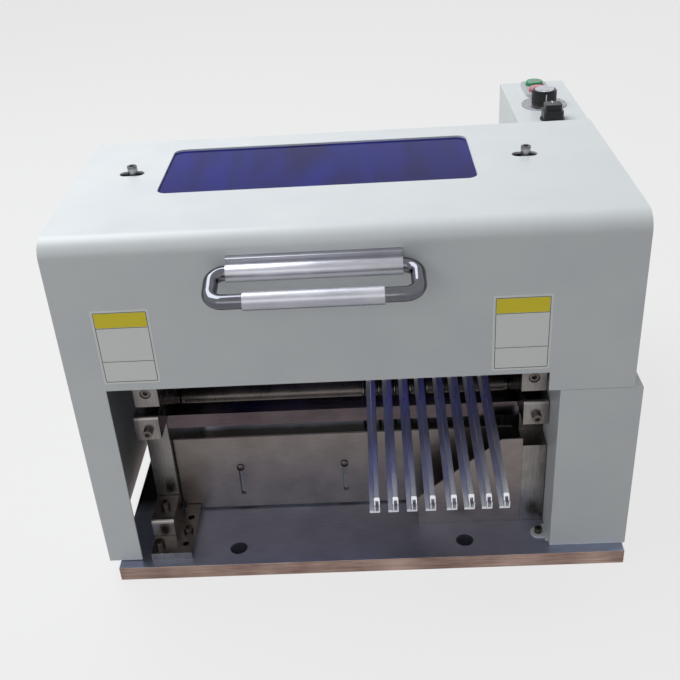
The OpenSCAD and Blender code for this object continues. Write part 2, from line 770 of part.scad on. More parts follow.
// One chromed end: into the rail, out of the face, and back towards the grip
module handle_end() {
  straight = handle_reach - 2 * handle_bend_r;
  inner = 9;
  sleeve = (rail_len - grip_len) / 2;
  r = handle_tube_d / 2;
  union() {
    translate([-inner, 0, 0]) rotate([0, 90, 0]) cylinder(r = r, h = inner, $fn = round_fn);
    translate([0, handle_bend_r, 0]) rotate([0, 0, -90]) rotate_extrude(angle = 90, $fn = round_fn)
      translate([handle_bend_r, 0]) circle(r = r, $fn = round_fn);
    translate([handle_bend_r, handle_bend_r, 0]) rotate([-90, 0, 0])
      cylinder(r = r, h = straight, $fn = round_fn);
    translate([0, handle_bend_r + straight, 0]) rotate_extrude(angle = 90, $fn = round_fn)
      translate([handle_bend_r, 0]) circle(r = r, $fn = round_fn);
    translate([-sleeve, handle_reach, 0]) rotate([0, 90, 0])
      cylinder(r = r, h = sleeve, $fn = round_fn);
  }
}

module handle_ends() color("silver") datum() at_handle() for (s = [0, 1]) mirror([s, 0, 0])
  translate([rail_len / 2, 0, 0]) handle_end();

module handle_grip() color("whitesmoke") datum() at_handle()
  translate([-grip_len / 2, handle_reach, 0]) rotate([0, 90, 0])
    cylinder(d = grip_d, h = grip_len, $fn = round_fn);

/* ---- Hood hinges ---- */

module knuckle(i) {
  rod_x(i * knuckle_pitch + 0.15, (i + 1) * knuckle_pitch - 0.15, 0, 0, 2 * knuckle_r);
}

module at_hinge(x) { translate([x - leaf_w / 2, hinge_y, hinge_z]) children(); }

module hinge_fixed_leaves() color("silver") datum() for (x = hinge_xs) at_hinge(x)
  difference() {
    union() {
      for (i = [0, 2, 4]) {
        knuckle(i);
        block([i * knuckle_pitch + 0.15, -knuckle_r, -knuckle_r - 1],
          [(i + 1) * knuckle_pitch - 0.15, -knuckle_r + leaf_t, 0]);
      }
      block([0.15, -knuckle_r, -leaf_reach], [leaf_w - 0.15, -knuckle_r + leaf_t,
        -knuckle_r - 0.8]);
    }
    rod_x(-1, leaf_w + 1, 0, 0, 2 * (hinge_pin_r + seat_fit));
    for (s = [0.2, 0.5, 0.8]) rod_y(-knuckle_r - 1, 0, s * leaf_w, -0.65 * leaf_reach, 3.4);
  }

module hinge_moving_leaves() color("silver") datum() for (x = hinge_xs) at_hinge(x)
  difference() {
    union() {
      for (i = [1, 3]) {
        knuckle(i);
        block([i * knuckle_pitch + 0.15, -knuckle_r - 1, knuckle_r - leaf_t],
          [(i + 1) * knuckle_pitch - 0.15, 0, knuckle_r]);
      }
      block([0.15, -leaf_reach, knuckle_r - leaf_t], [leaf_w - 0.15, -knuckle_r - 0.8,
        knuckle_r]);
    }
    rod_x(-1, leaf_w + 1, 0, 0, 2 * (hinge_pin_r + run_fit));
    for (s = [0.2, 0.5, 0.8]) rod_z(0, knuckle_r + 1, s * leaf_w, -0.65 * leaf_reach, 3.4);
  }

module hinge_pins() color("gray") datum() for (x = hinge_xs) at_hinge(x)
  rod_x(-1, leaf_w + 1, 0, 0, 2 * hinge_pin_r);

/* ---- Upper carriage ---- */

module upper_block(i) {
  mid = block_mids[i];
  difference() {
    block([mid - plate_t / 2, block_front, block_z], [mid + plate_t / 2, block_back, block_top]);
    rod_x(mid - plate_t, mid + plate_t, shaft_y, upper_z, shaft_d + 8);
    rod_x(mid - bearing_w / 2, mid + plate_t, shaft_y, upper_z, bearing_d + 2 * seat_fit);
    for (y = pillar_ys) {
      rod_z(block_z - 1, block_top + 1, pillar_x[i], y, pillar_d + 2 * run_fit);
      rod_z(block_z - 1, block_z + spring_pocket, pillar_x[i], y, 2 * spring_pocket_r);
    }
    rod_z(adjust_tap, block_top + 1, adjust_x[i], adjust_y, adjust_d + 2 * run_fit);
    // Counterbored screw in the front
    rod_y(block_front - 1, block_front + block_bore, mid, block_screw_z, 11);
    rod_y(block_front - 1, block_front + block_bore + block_screw_l + 1, mid, block_screw_z,
      screw_d + tap_fit);
  }
}
block_screw_z = block_z + 15;
block_bore = screw_d + 1;
block_screw_l = 2 * screw_d;

module upper_block_left() color("silver") datum() upper_block(0);

module upper_block_right() color("silver") datum() upper_block(1);

// Bar that keeps the two upper blocks level
tie_side = 0.8 * plate_t;
module carriage_tie_bar() color("darkgray") datum() block(
  [block_l_mid + plate_t / 2 + seat_fit, plate_front, block_top - plate_t / 3 - tie_side],
  [block_r_mid - plate_t / 2 - seat_fit, plate_front + tie_side, block_top - plate_t / 3]);

module guide_pillars() color("gainsboro") datum() for (x = pillar_x, y = pillar_ys)
  difference() {
    union() {
      rod_z(plate_h - pillar_seat, bridge_z, x, y, pillar_d);
      rod_z(bridge_z - eps, bridge_top, x, y, pillar_d - 2);
    }
    rod_z(bridge_top - pillar_tap, bridge_top + 1, x, y, 5);
  }

bridge_lap = 1.2 * pillar_d;
module top_bridges() color("silver") datum() for (i = [0, 1]) difference() {
  block([block_mids[i] - plate_t / 2, pillar_ys[0] - bridge_lap, bridge_z],
    [block_mids[i] + plate_t / 2, pillar_ys[1] + bridge_lap, bridge_top]);
  for (y = pillar_ys) rod_z(bridge_z - 1, bridge_top + 1, pillar_x[i], y,
    pillar_d - 2 + 2 * seat_fit);
  rod_z(bridge_z - 1, bridge_top + 1, adjust_x[i], adjust_y, adjust_d + 2 * run_fit);
}

// One spring of round wire: rings of points swept along a helix
module coil_spring(r, wire, height, turns) {
  sides = 6;
  steps = turns * 14;
  pts = [for (i = [0:steps], k = [0:sides - 1])
    let (a = 360 * turns * i / steps, b = 360 * k / sides, q = r + wire / 2 * cos(b))
    [q * cos(a), q * sin(a), wire / 2 + (height - wire) * i / steps + wire / 2 * sin(b)]];
  walls = [for (i = [0:steps - 1], k = [0:sides - 1])
    let (k2 = (k + 1) % sides)
    [i * sides + k2, (i + 1) * sides + k2, (i + 1) * sides + k, i * sides + k]];
  near = [for (k = [sides - 1:-1:0]) k];
  far = [for (k = [0:sides - 1]) steps * sides + k];
  polyhedron(points = pts, faces = concat(walls, [near, far]), convexity = 6);
}

module pillar_springs() color("dimgray") datum() for (x = pillar_x, y = pillar_ys)
  translate([x, y, plate_h + seat_fit])
    coil_spring(spring_r, spring_wire, block_gap + spring_pocket - 2 * seat_fit, spring_turns);

// Adjusting screw: socket end above the hood, collar under the bridge, thread in the block
module adjusting_screw(i) {
  difference() {
    union() {
      rod_z(adjust_bottom, adjust_top, adjust_x[i], adjust_y, adjust_d);
      rod_z(bridge_z - clear - adjust_collar_h, bridge_z - clear, adjust_x[i], adjust_y,
        adjust_collar_d);
    }
    translate([adjust_x[i], adjust_y, adjust_top - 5]) cylinder(d = 5.8, h = 6, $fn = 6);
  }
}

module adjusting_screw_left() color("silver") datum() adjusting_screw(0);

module adjusting_screw_right() color("silver") datum() adjusting_screw(1);

module lock_nuts() color("gainsboro") datum() for (x = adjust_x)
  translate([x, adjust_y, bridge_top + clear]) difference() {
    cylinder(d = nut_af / cos(30), h = nut_h, $fn = 6);
    translate([0, 0, -1]) cylinder(d = adjust_d + 2 * seat_fit, h = nut_h + 2, $fn = round_fn);
  }

/* ---- Shafts ---- */

// Deep groove ball bearing, shut on both sides, on an axis along X
module bearing(x, z) {
  translate([x, shaft_y, z]) rotate([0, 90, 0]) rotate_extrude($fn = round_fn) polygon([
    [shaft_d / 2 + run_fit, 0], [shaft_d / 2 + 3, 0], [shaft_d / 2 + 3, 0.6],
    [bearing_d / 2 - 3, 0.6], [bearing_d / 2 - 3, 0], [bearing_d / 2, 0],
    [bearing_d / 2, bearing_w], [bearing_d / 2 - 3, bearing_w],
    [bearing_d / 2 - 3, bearing_w - 0.6], [shaft_d / 2 + 3, bearing_w - 0.6],
    [shaft_d / 2 + 3, bearing_w], [shaft_d / 2 + run_fit, bearing_w]]);
}

module lower_bearings() color("gray") datum() for (mid = side_mids)
  bearing(mid - bearing_w / 2, lower_z);

module upper_bearings() color("gray") datum() for (mid = block_mids)
  bearing(mid - bearing_w / 2, upper_z);

module shaft(z, right_end, stack) {
  left_end = field_l - plate_t - 8;
  difference() {
    union() {
      rod_x(left_end, right_end, shaft_y, z, shaft_d);
      // Collars beside the bearings
      for (x = [stack[0] - 5, stack[1]]) rod_x(x, x + 5, shaft_y, z, shaft_d + 12);
    }
    rod_x(left_end - 1, left_end + 4, shaft_y, z, 5);
    rod_x(right_end - 8, right_end + 1, shaft_y, z, 5);
  }
}

module lower_shaft() color("silver") datum() shaft(lower_z, pulley_x + pulley_w + 3,
  lower_stack);

module upper_shaft() color("silver") datum() shaft(upper_z, gear_x + gear_w + 3,
  upper_stack);

// Round cutters with an edge bevelled on both sides
module blades(z) {
  for (x = blade_xs) translate([x - blade_t / 2, shaft_y, z]) rotate([0, 90, 0]) difference() {
    rotate_extrude($fn = 96) polygon([
      [shaft_d / 2 + seat_fit, 0], [blade_r - 4, 0], [blade_r, blade_bevel],
      [blade_r, blade_t - blade_bevel], [blade_r - 4, blade_t], [shaft_d / 2 + seat_fit,
      blade_t]]);
    for (a = [0:90:270]) rotate(a) translate([16, 0, -1]) cylinder(d = 6, h = blade_t + 2,
      $fn = 24);
  }
}

module lower_blades() color("lightsteelblue") datum() blades(lower_z);

module upper_blades() color("lightsteelblue") datum() blades(upper_z);

// Sleeves that fill the shaft before, between and after the blades
module spacers(z, stack) {
  starts = concat([stack[0]], [for (x = blade_xs) x + blade_t / 2]);
  ends = concat([for (x = blade_xs) x - blade_t / 2], [stack[1]]);
  for (i = [0:len(starts) - 1]) difference() {
    rod_x(starts[i], ends[i], shaft_y, z, spacer_d);
    rod_x(starts[i] - 1, ends[i] + 1, shaft_y, z, shaft_d + 2 * seat_fit);
  }
}

module lower_spacers() color("darkgray") datum() spacers(lower_z, lower_stack);

module upper_spacers() color("darkgray") datum() spacers(upper_z, upper_stack);

// Involute spur gear: outline of one tooth, then a pattern round the root circle
pressure_angle = 20;
pitch_r = shaft_dz / 2;
tip_r = pitch_r + gear_module;
root_r = pitch_r - 1.25 * gear_module;
gear_base_r = pitch_r * cos(pressure_angle);
function involute_angle(r) = let (t = sqrt(max(0, pow(r / gear_base_r, 2) - 1)))
  t * 180 / PI - atan(t);
half_tooth = 90 / gear_teeth - gear_backlash / 2 / pitch_r * 180 / PI;
function flank(r, side) = let (a = side * (half_tooth + involute_angle(pitch_r)
  - involute_angle(max(r, gear_base_r)))) [r * cos(a), r * sin(a)];
flank_rs = [root_r - 1, gear_base_r, pitch_r, (pitch_r + tip_r) / 2, tip_r];
module gear_2d() {
  union() {
    circle(r = root_r, $fn = 96);
    for (i = [0:gear_teeth - 1]) rotate(360 * i / gear_teeth) polygon(concat(
      [for (r = flank_rs) flank(r, -1)],
      [for (k = [len(flank_rs) - 1:-1:0]) flank(flank_rs[k], 1)]));
  }
}

module spur_gear(z, turn) {
  translate([gear_x, shaft_y, z]) rotate([0, 90, 0]) rotate([0, 0, turn]) difference() {
    union() {
      linear_extrude(gear_w) gear_2d();
      cylinder(d = shaft_d + 16, h = gear_w + 2.5, $fn = round_fn);
    }
    translate([0, 0, -1]) cylinder(d = shaft_d + 2 * seat_fit, h = gear_w + 5, $fn = round_fn);
    for (side = [-1, gear_w - 3]) translate([0, 0, side]) difference() {
      cylinder(r = root_r - 5, h = 4, $fn = round_fn);
      translate([0, 0, -1]) cylinder(d = shaft_d + 16, h = 6, $fn = round_fn);
    }
  }
}

module lower_gear() color("slategray") datum() spur_gear(lower_z, 180 / gear_teeth);

module upper_gear() color("slategray") datum() spur_gear(upper_z, 0);

// Flat pulley with two flanges, on an axis along X
module pulley(y, z, d, bore) {
  translate([pulley_x, y, z]) rotate([0, 90, 0]) difference() {
    rotate_extrude($fn = round_fn) polygon([
      [bore / 2 + seat_fit, 0], [d / 2 + flange_h, 0], [d / 2 + flange_h, flange_t - 0.3],
      [d / 2, flange_t], [d / 2, pulley_w - flange_t], [d / 2 + flange_h, pulley_w - flange_t
      + 0.3], [d / 2 + flange_h, pulley_w], [bore / 2 + seat_fit, pulley_w]]);
    translate([bore / 2 + 3.5, 0, -1]) cylinder(d = 3, h = 6, $fn = 24);
  }
}

module shaft_pulley() color("silver") datum()
  pulley(shaft_y, lower_z, shaft_pulley_d, shaft_d);

module motor_pulley() color("silver") datum()
  pulley(motor_y, motor_z, motor_pulley_d, motor_shaft_d);
motor_shaft_d = 12;

// Belt: the outline round two circles, as the tangent points give it
belt_span = sqrt(pow(motor_y - shaft_y, 2) + pow(motor_z - lower_z, 2));
belt_lean = atan2(motor_z - lower_z, motor_y - shaft_y);
module belt_2d(extra) {
  ra = shaft_pulley_d / 2 + extra;
  rb = motor_pulley_d / 2 + extra;
  wrap = acos((ra - rb) / belt_span);
  union() {
    circle(r = ra, $fn = 96);
    translate([belt_span, 0]) circle(r = rb, $fn = 96);
    polygon([[ra * cos(wrap), ra * sin(wrap)],
      [ra * cos(wrap), -ra * sin(wrap)],
      [belt_span + rb * cos(wrap), -rb * sin(wrap)],
      [belt_span + rb * cos(wrap), rb * sin(wrap)]]);
  }
}

module drive_belt() color("black") datum()
  along_x(pulley_x + (pulley_w - belt_w) / 2, pulley_x + (pulley_w + belt_w) / 2)
    translate([shaft_y, lower_z]) rotate(belt_lean) difference() {
      belt_2d(clear + belt_t);
      belt_2d(clear);
    }

/* ---- Motor ---- */

motor_face = field_r + plate_t - 5;
gear_head_l = 45;
motor_l = 105;
gear_head_screw = motor_side / 2 - 8;
module gear_motor() color("dimgray") datum() difference() {
  union() {
    along_x(motor_face - gear_head_l, motor_face) translate([motor_y, motor_z])
      round_rect([motor_side, motor_side], 6);
    rod_x(motor_face - gear_head_l - motor_l, motor_face - gear_head_l + eps, motor_y, motor_z,
      motor_side - 2);
    // Cooling ribs along the motor
    for (a = [0:30:330]) translate([0, motor_y, motor_z]) rotate([a, 0, 0])
      block([motor_face - gear_head_l - motor_l + 8, -1.2, motor_side / 2 - 3],
        [motor_face - gear_head_l - 6, 1.2, motor_side / 2]);
    rod_x(motor_face - eps, motor_face + 2, motor_y, motor_z, 26);
    rod_x(motor_face, pulley_x - 1, motor_y, motor_z, motor_shaft_d - 2);
  }
  for (sy = [-1, 1], sz = [-1, 1]) rod_x(motor_face - gear_head_l - 1, motor_face + 1,
    motor_y + sy * gear_head_screw, motor_z + sz * gear_head_screw, 5.4);
}

// Upright plate on a foot that holds the gear head by four screws
bracket_foot = 34;
bracket_side = motor_side + 20;
module motor_bracket() color("silver") datum() difference() {
  union() {
    block([motor_face + seat_fit, motor_y - bracket_side / 2, 0],
      [field_r + plate_t, motor_y + bracket_side / 2, motor_z + motor_side / 2 + 6]);
    block([motor_face - bracket_foot, motor_y - bracket_side / 2, 0],
      [field_r + plate_t, motor_y + bracket_side / 2, bracket_foot_t]);
  }
  rod_x(motor_face - 1, field_r + plate_t + 1, motor_y, motor_z, 27);
  for (sy = [-1, 1], sz = [-1, 1]) rod_x(motor_face - 1, field_r + plate_t + 1,
    motor_y + sy * gear_head_screw, motor_z + sz * gear_head_screw, small_screw_d + tap_fit);
  for (s = [-1, 1]) rod_z(-1, bracket_foot_t + 1, motor_foot_x, motor_y + s * motor_foot_dy,
    6.5);
}
bracket_foot_t = 5;
motor_foot_x = motor_face - bracket_foot + 10;
motor_foot_dy = 0.38 * bracket_side;

/* ---- Infeed ---- */

table_l = field_l + 4;
table_r = field_r - 6;
leg_front = plate_back + 12;
table_foot_x = table_l + 14;
table_foot_ys = [leg_front + 20, table_back - 30];
module infeed_table() color("silver") datum() difference() {
  union() {
    block([table_l, table_front, table_top - table_t], [table_r, table_back, table_top]);
    for (x = [table_l, table_r - table_t]) {
      block([x, leg_front, 0], [x + table_t, table_back, table_top - table_t + eps]);
    }
    block([table_l, leg_front, 0], [table_l + 22, table_back, table_t]);
    block([table_l, table_back - table_t, table_top - 26],
      [table_r, table_back, table_top - table_t + eps]);
  }
  for (y = table_foot_ys) rod_z(-1, table_t + 1, table_foot_x, y, 6.5);
  // Arch in the right leg, round the motor and its bracket
  block([table_r - 3 * table_t, motor_y - bracket_side / 2 - 3, -1],
    [table_r + 1, motor_y + bracket_side / 2 + 3, motor_z + motor_side / 2 + 4]);
}

// Two side fences that guide the whole panel to the blades
fence_w = 12;
fence_h = 10;
fence_xs = [blade_xs[0] - fence_w - 2, blade_xs[rail_count] + 2];
module infeed_fences() color("gainsboro") datum() for (x = fence_xs) difference() {
  block([x, table_front + 14, table_top], [x + fence_w, table_back - 10, table_top + fence_h]);
  for (y = [table_front + 40, table_back - 40]) {
    rod_z(table_top - 1, table_top + fence_h + 1, x + fence_w / 2, y, 5.4);
    rod_z(table_top + fence_h - 4, table_top + fence_h + 1, x + fence_w / 2, y, 9.6);
  }
}

/* ---- Screws of the frame ---- */

// Screws that go down into the base plate: place, thread and the height of their seat
base_screws = concat([
  [plate_l_mid, foot_block_screw_y, screw_d, foot_block_top],
  [foot_screw_x, foot_screw_y, screw_d, foot_t - foot_bore],
  [foot_corner[0], foot_corner[1], screw_d, foot_t],
  [ear_x, ear_y, small_screw_d, box_sheet],
  [panel_screw[0], panel_screw[1], small_screw_d, panel_t]],
  [for (x = guard_slots_x) [x, post_screw_y, small_screw_d, post_foot_t]],
  [for (y = table_foot_ys) [table_foot_x, y, screw_d, table_t]],
  [for (t = [-1, 1]) [motor_foot_x, motor_y + t * motor_foot_dy, screw_d, bracket_foot_t]]);

module frame_screws() color("dimgray") datum() {
  for (s = base_screws) translate([s[0], s[1], s[3] + seat_fit]) cap_screw(s[2],
    s[3] + screw_bite);
  for (mid = side_mids) translate([mid, block_front - seat_fit, bracket_z + bracket_screw_z])
    rotate([90, 0, 0]) cap_screw(screw_d, bracket_d + screw_bite);
  for (z = baffle_holes) translate([field_r - baffle_t - 2 * seat_fit, baffle_screw_y, z])
    rotate([0, -90, 0]) cap_screw(small_screw_d, baffle_t + screw_bite);
  for (sy = [-1, 1], sz = [-1, 1]) translate([motor_face - gear_head_l - seat_fit,
    motor_y + sy * gear_head_screw, motor_z + sz * gear_head_screw]) rotate([0, -90, 0])
      cap_screw(small_screw_d, gear_head_l + 4);
}

// Counterbored screws in the fronts of the upper blocks
module block_screws() color("dimgray") datum() for (mid = block_mids)
  translate([mid, block_front + block_bore - seat_fit, block_screw_z]) rotate([90, 0, 0])
    cap_screw(screw_d, block_screw_l);

/* ---- Controls ---- */

module scale_plate() color("silver") datum() difference() {
  rod_z(box_high_h, box_high_h + 1.5, knob_x, knob_y, scale_d);
  rod_z(box_high_h - 1, box_high_h + 3, knob_x, knob_y, bushing_d + 2 * seat_fit);
}

// Knob with a fluted rim and a cap recess
flutes = 40;
knob_z = box_high_h + 1.5 + clear;
module speed_knob() color("black") datum() translate([knob_x, knob_y, knob_z]) difference() {
  union() {
    cylinder(d = knob_d, h = knob_h - 1.2, $fn = round_fn);
    translate([0, 0, knob_h - 1.2 - eps]) cylinder(d = knob_d - 2.4, h = 1.2, $fn = round_fn);
  }
  for (i = [0:flutes - 1]) rotate(360 * i / flutes) translate([knob_d / 2 + 0.3, 0, 2])
    cylinder(d = 1.4, h = knob_h, $fn = 13);
  translate([0, 0, -1]) cylinder(d = 9, h = 3, $fn = round_fn);
}

module selector_bezel() color("dimgray") datum() difference() {
  rod_z(box_high_h, box_high_h + 1.5, knob_x, selector_y, selector_d + 5);
  rod_z(box_high_h - 1, box_high_h + 3, knob_x, selector_y, 15);
}

// Selector: a round foot and a square grip, narrower above
selector_z = box_high_h + 1.5 + clear;
module selector_knob() color("black") datum() translate([knob_x, selector_y, selector_z])
  difference() {
    union() {
      linear_extrude(9) round_rect([selector_d, selector_d], 4);
      linear_extrude(16) round_rect([selector_d - 3.5, selector_d - 6], 3);
      translate([0, 0, -3.5]) cylinder(d = 13, h = 4, $fn = round_fn);
    }
    translate([0, 5, 15.2]) linear_extrude(2) square([1.4, 7], center = true);
  }

// Twin button: one frame, green behind red
twin_w = 30;
twin_d = 58;
button_d = 20;
button_dy = 13;
module button_bezel() color("dimgray") datum() difference() {
  union() {
    translate([knob_x, buttons_y, box_high_h]) linear_extrude(4) round_rect([twin_w, twin_d], 9);
    translate([knob_x, buttons_y, box_high_h - box_sheet - 16]) linear_extrude(box_sheet + 17)
      square([21.6, 45.6], center = true);
  }
  for (s = [-1, 1]) rod_z(box_high_h - 8, box_high_h + 5, knob_x, buttons_y + s * button_dy,
    button_d + 2 * clear);
}

module push_button(y) {
  floor_z = box_high_h - 8;
  union() {
    rod_z(floor_z + button_stroke + 1, box_high_h + 7.5, knob_x, y, button_d);
    translate([knob_x, y, box_high_h + 7.5 - eps]) cylinder(d1 = button_d, d2 = button_d - 1.6,
      h = 0.8, $fn = round_fn);
  }
}

module green_button() color("seagreen") datum() push_button(buttons_y + button_dy);

module red_button() color("firebrick") datum() push_button(buttons_y - button_dy);

base_plate();
left_side_plate();
right_side_plate();
left_foot_plate();
left_foot_block();
crossbar_brackets();
front_crossbar();
guide_rails();
rail_screws();
guard_plate();
guard_posts();
guard_screws();
discharge_baffle();
right_housing();
housing_rear_cover();
rear_panel();
hood_shell();
hood_window();
handle_rail();
handle_ends();
handle_grip();
hinge_fixed_leaves();
hinge_moving_leaves();
hinge_pins();
upper_block_left();
upper_block_right();
carriage_tie_bar();
guide_pillars();
pillar_springs();
top_bridges();
lower_bearings();
upper_bearings();
lower_shaft();
lower_blades();
lower_spacers();
lower_gear();
shaft_pulley();
upper_shaft();
upper_blades();
upper_spacers();
upper_gear();
adjusting_screw_left();
adjusting_screw_right();
lock_nuts();
gear_motor();
motor_bracket();
motor_pulley();
drive_belt();
infeed_table();
infeed_fences();
frame_screws();
speed_knob();
scale_plate();
selector_knob();
selector_bezel();
button_bezel();
green_button();
red_button();
power_inlet();
block_screws();
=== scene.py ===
"""Looks of the multi-blade board separator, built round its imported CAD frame.

Every place is in metres, in the part's frame: the origin is the centre of the base plate's
underside, +Z is up and the outfeed side with the hood's handle faces -Y.
"""
import bmesh
import bpy
import json
import math
from mathutils import Matrix, Vector


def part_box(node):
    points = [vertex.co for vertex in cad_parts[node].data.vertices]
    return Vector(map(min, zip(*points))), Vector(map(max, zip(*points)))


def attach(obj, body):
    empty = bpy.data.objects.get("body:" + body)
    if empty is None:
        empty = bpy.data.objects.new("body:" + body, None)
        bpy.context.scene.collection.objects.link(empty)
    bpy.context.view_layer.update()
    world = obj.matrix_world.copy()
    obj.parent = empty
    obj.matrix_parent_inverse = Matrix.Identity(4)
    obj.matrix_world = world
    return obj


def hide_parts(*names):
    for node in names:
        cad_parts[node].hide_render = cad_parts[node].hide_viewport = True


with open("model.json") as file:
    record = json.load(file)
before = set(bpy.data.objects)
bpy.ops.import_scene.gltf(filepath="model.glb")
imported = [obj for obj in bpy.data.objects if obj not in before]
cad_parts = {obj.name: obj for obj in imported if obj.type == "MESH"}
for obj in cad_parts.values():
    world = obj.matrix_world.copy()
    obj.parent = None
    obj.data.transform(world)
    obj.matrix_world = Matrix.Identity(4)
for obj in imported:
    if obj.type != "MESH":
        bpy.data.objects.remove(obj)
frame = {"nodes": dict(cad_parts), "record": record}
bpy.context.scene.view_settings.view_transform = "Standard"
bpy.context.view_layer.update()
nodes = frame["nodes"]
body_of_node = {n: b for b, members in frame["record"]["behaviour"]["bodies"].items()
                for n in members}
slot_of_node = {s["node"]: s["material_slot"] for s in frame["record"]["subparts"]}
MM = 0.001
FLOOR_Z, SHADE_Z = -0.5 * MM, -0.3 * MM
SHARP_DEGREES = 32    # edges that turn more than this are real edges
NOISE_LOW, NOISE_HIGH = 0.3, 0.7    # most of a noise pattern lies between these
NOISE_ROUGHNESS = 0.55


# ---------------------------------------------------------------- camera, light and floor

def make_camera():
    """A phone held over the outfeed side, a little right of the middle and turned left."""
    data = bpy.data.cameras.new("camera")
    data.sensor_width = 36
    data.lens = 50.54
    data.clip_start = 0.05
    camera = bpy.data.objects.new("camera", data)
    turn_left, look_down, roll = (math.radians(a) for a in (2.52, 30.63, 3.81))
    turned = (Matrix.Rotation(turn_left, 4, "Z")
              @ Matrix.Rotation(math.pi / 2 - look_down, 4, "X")
              @ Matrix.Rotation(-roll, 4, "Z"))
    camera.matrix_world = Matrix.Translation((0.01682, -0.95122, 0.70451)) @ turned
    bpy.context.scene.collection.objects.link(camera)
    bpy.context.scene.camera = camera


def area_light(name, place, aim, size, watts, colour=(1, 1, 1)):
    """A softbox of a size in metres, hung at a place and turned to its aim."""
    data = bpy.data.lights.new(name, "AREA")
    data.shape = "RECTANGLE"
    data.size, data.size_y = size
    data.energy = watts
    data.color = colour
    light = bpy.data.objects.new(name, data)
    light.location = place
    light.rotation_euler = (Vector(aim) - Vector(place)).to_track_quat("-Z", "Y").to_euler()
    bpy.context.scene.collection.objects.link(light)


def seen_or_mirrored(tree):
    """1 on camera rays and on rays that metal or acrylic throws on, else 0."""
    path = add_node(tree, "LightPath")
    either = add_node(tree, "Math", {0: (path, "Is Camera Ray"), 1: (path, "Is Glossy Ray")},
                      operation="MAXIMUM")
    return add_node(tree, "Math", {0: (either, 0), 1: (path, "Is Transmission Ray")},
                    operation="MAXIMUM")


def make_world():
    """A plain room: white to the eye and in reflections, and a weaker even light on matt faces."""
    world = bpy.data.worlds.new("studio")
    bpy.context.scene.world = world
    world.use_nodes = True
    tree = world.node_tree
    tree.nodes.clear()
    seen = add_node(tree, "Background", {"Color": (1, 1, 1, 1), "Strength": 1.0})
    light = add_node(tree, "Background", {"Color": (0.96, 0.98, 1, 1), "Strength": 0.27})
    shown = seen_or_mirrored(tree)
    mix = add_node(tree, "MixShader", {0: (shown, 0), 1: (light, 0), 2: (seen, 0)})
    add_node(tree, "OutputWorld", {"Surface": (mix, 0)})


def lay_flat(name, low, high, z, material):
    """A level sheet of the stage, between two corners."""
    mesh = bpy.data.meshes.new(name)
    mesh.from_pydata([(low[0], low[1], 0), (high[0], low[1], 0), (high[0], high[1], 0),
                      (low[0], high[1], 0)], [], [(0, 1, 2, 3)])
    sheet = bpy.data.objects.new(name, mesh)
    bpy.context.scene.collection.objects.link(sheet)
    sheet.location.z = z
    mesh.materials.append(material)


def make_floor():
    """A pale floor that reads white to the eye and still takes the object's shadow, and a dark
    sheet of painted shadow under the base plate, seen through its open holes."""
    half = 40
    glow_share = 0.75
    pale, tree = new_material("pale_floor")
    matt = add_node(tree, "BsdfDiffuse", {"Color": linear("#b9b9b8")})
    glow = add_node(tree, "Emission", {"Color": (1, 1, 1, 1), "Strength": 1.0})
    shown = seen_or_mirrored(tree)
    share = add_node(tree, "Math", {0: (shown, 0), 1: glow_share}, operation="MULTIPLY")
    mix = add_node(tree, "MixShader", {0: (share, 0), 1: (matt, 0), 2: (glow, 0)})
    add_node(tree, "OutputMaterial", {"Surface": (mix, 0)})
    lay_flat("floor", (-half, -half), (half, half), FLOOR_Z, pale)
    low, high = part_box("base_plate")
    inset = 4 * MM
    # a dark sheet of painted shadow under the base plate
    shade, tree = new_material("painted_shadow_floor")
    matt = add_node(tree, "BsdfPrincipled", {"Base Color": linear("#5e5450"),
                                             "Roughness": 0.9})
    add_node(tree, "OutputMaterial", {"Surface": (matt, 0)})
    lay_flat("painted_shadow_under_base", (low.x + inset, low.y + inset),
             (high.x - inset, high.y - inset), SHADE_Z, shade)


# ---------------------------------------------------------------- materials

def linear(hex_colour):
    """An sRGB hex colour as the linear RGBA that the shaders take."""
    parts = [int(hex_colour[i:i + 2], 16) / 255 for i in (1, 3, 5)]
    return (*[c / 12.92 if c <= 0.04045 else ((c + 0.055) / 1.055) ** 2.4 for c in parts], 1)


def add_node(tree, kind, inputs=None, stops=(), **settings):
    """A shader node with its settings. An input is a value or a pair (node, output), and stops
    are the places and sRGB colours of a colour ramp."""
    made = tree.nodes.new("ShaderNode" + kind)
    for key, value in settings.items():
        setattr(made, key, value)
    for key, value in (inputs or {}).items():
        if isinstance(value, tuple) and isinstance(value[0], bpy.types.Node):
            tree.links.new(value[0].outputs[value[1]], made.inputs[key])
        else:
            made.inputs[key].default_value = value
    for i, (place, colour) in enumerate(stops):
        made.color_ramp.elements[i].position = place
        made.color_ramp.elements[i].color = linear(colour)
    return made


def new_material(name):
    """A material with no nodes yet, and its node tree."""
    material = bpy.data.materials.new(name)
    material.use_nodes = True
    material.node_tree.nodes.clear()
    return material, material.node_tree


def per_mm(size):
    """Noise scale, per metre, that gives features of about this size in millimetres."""
    return 1000 / size


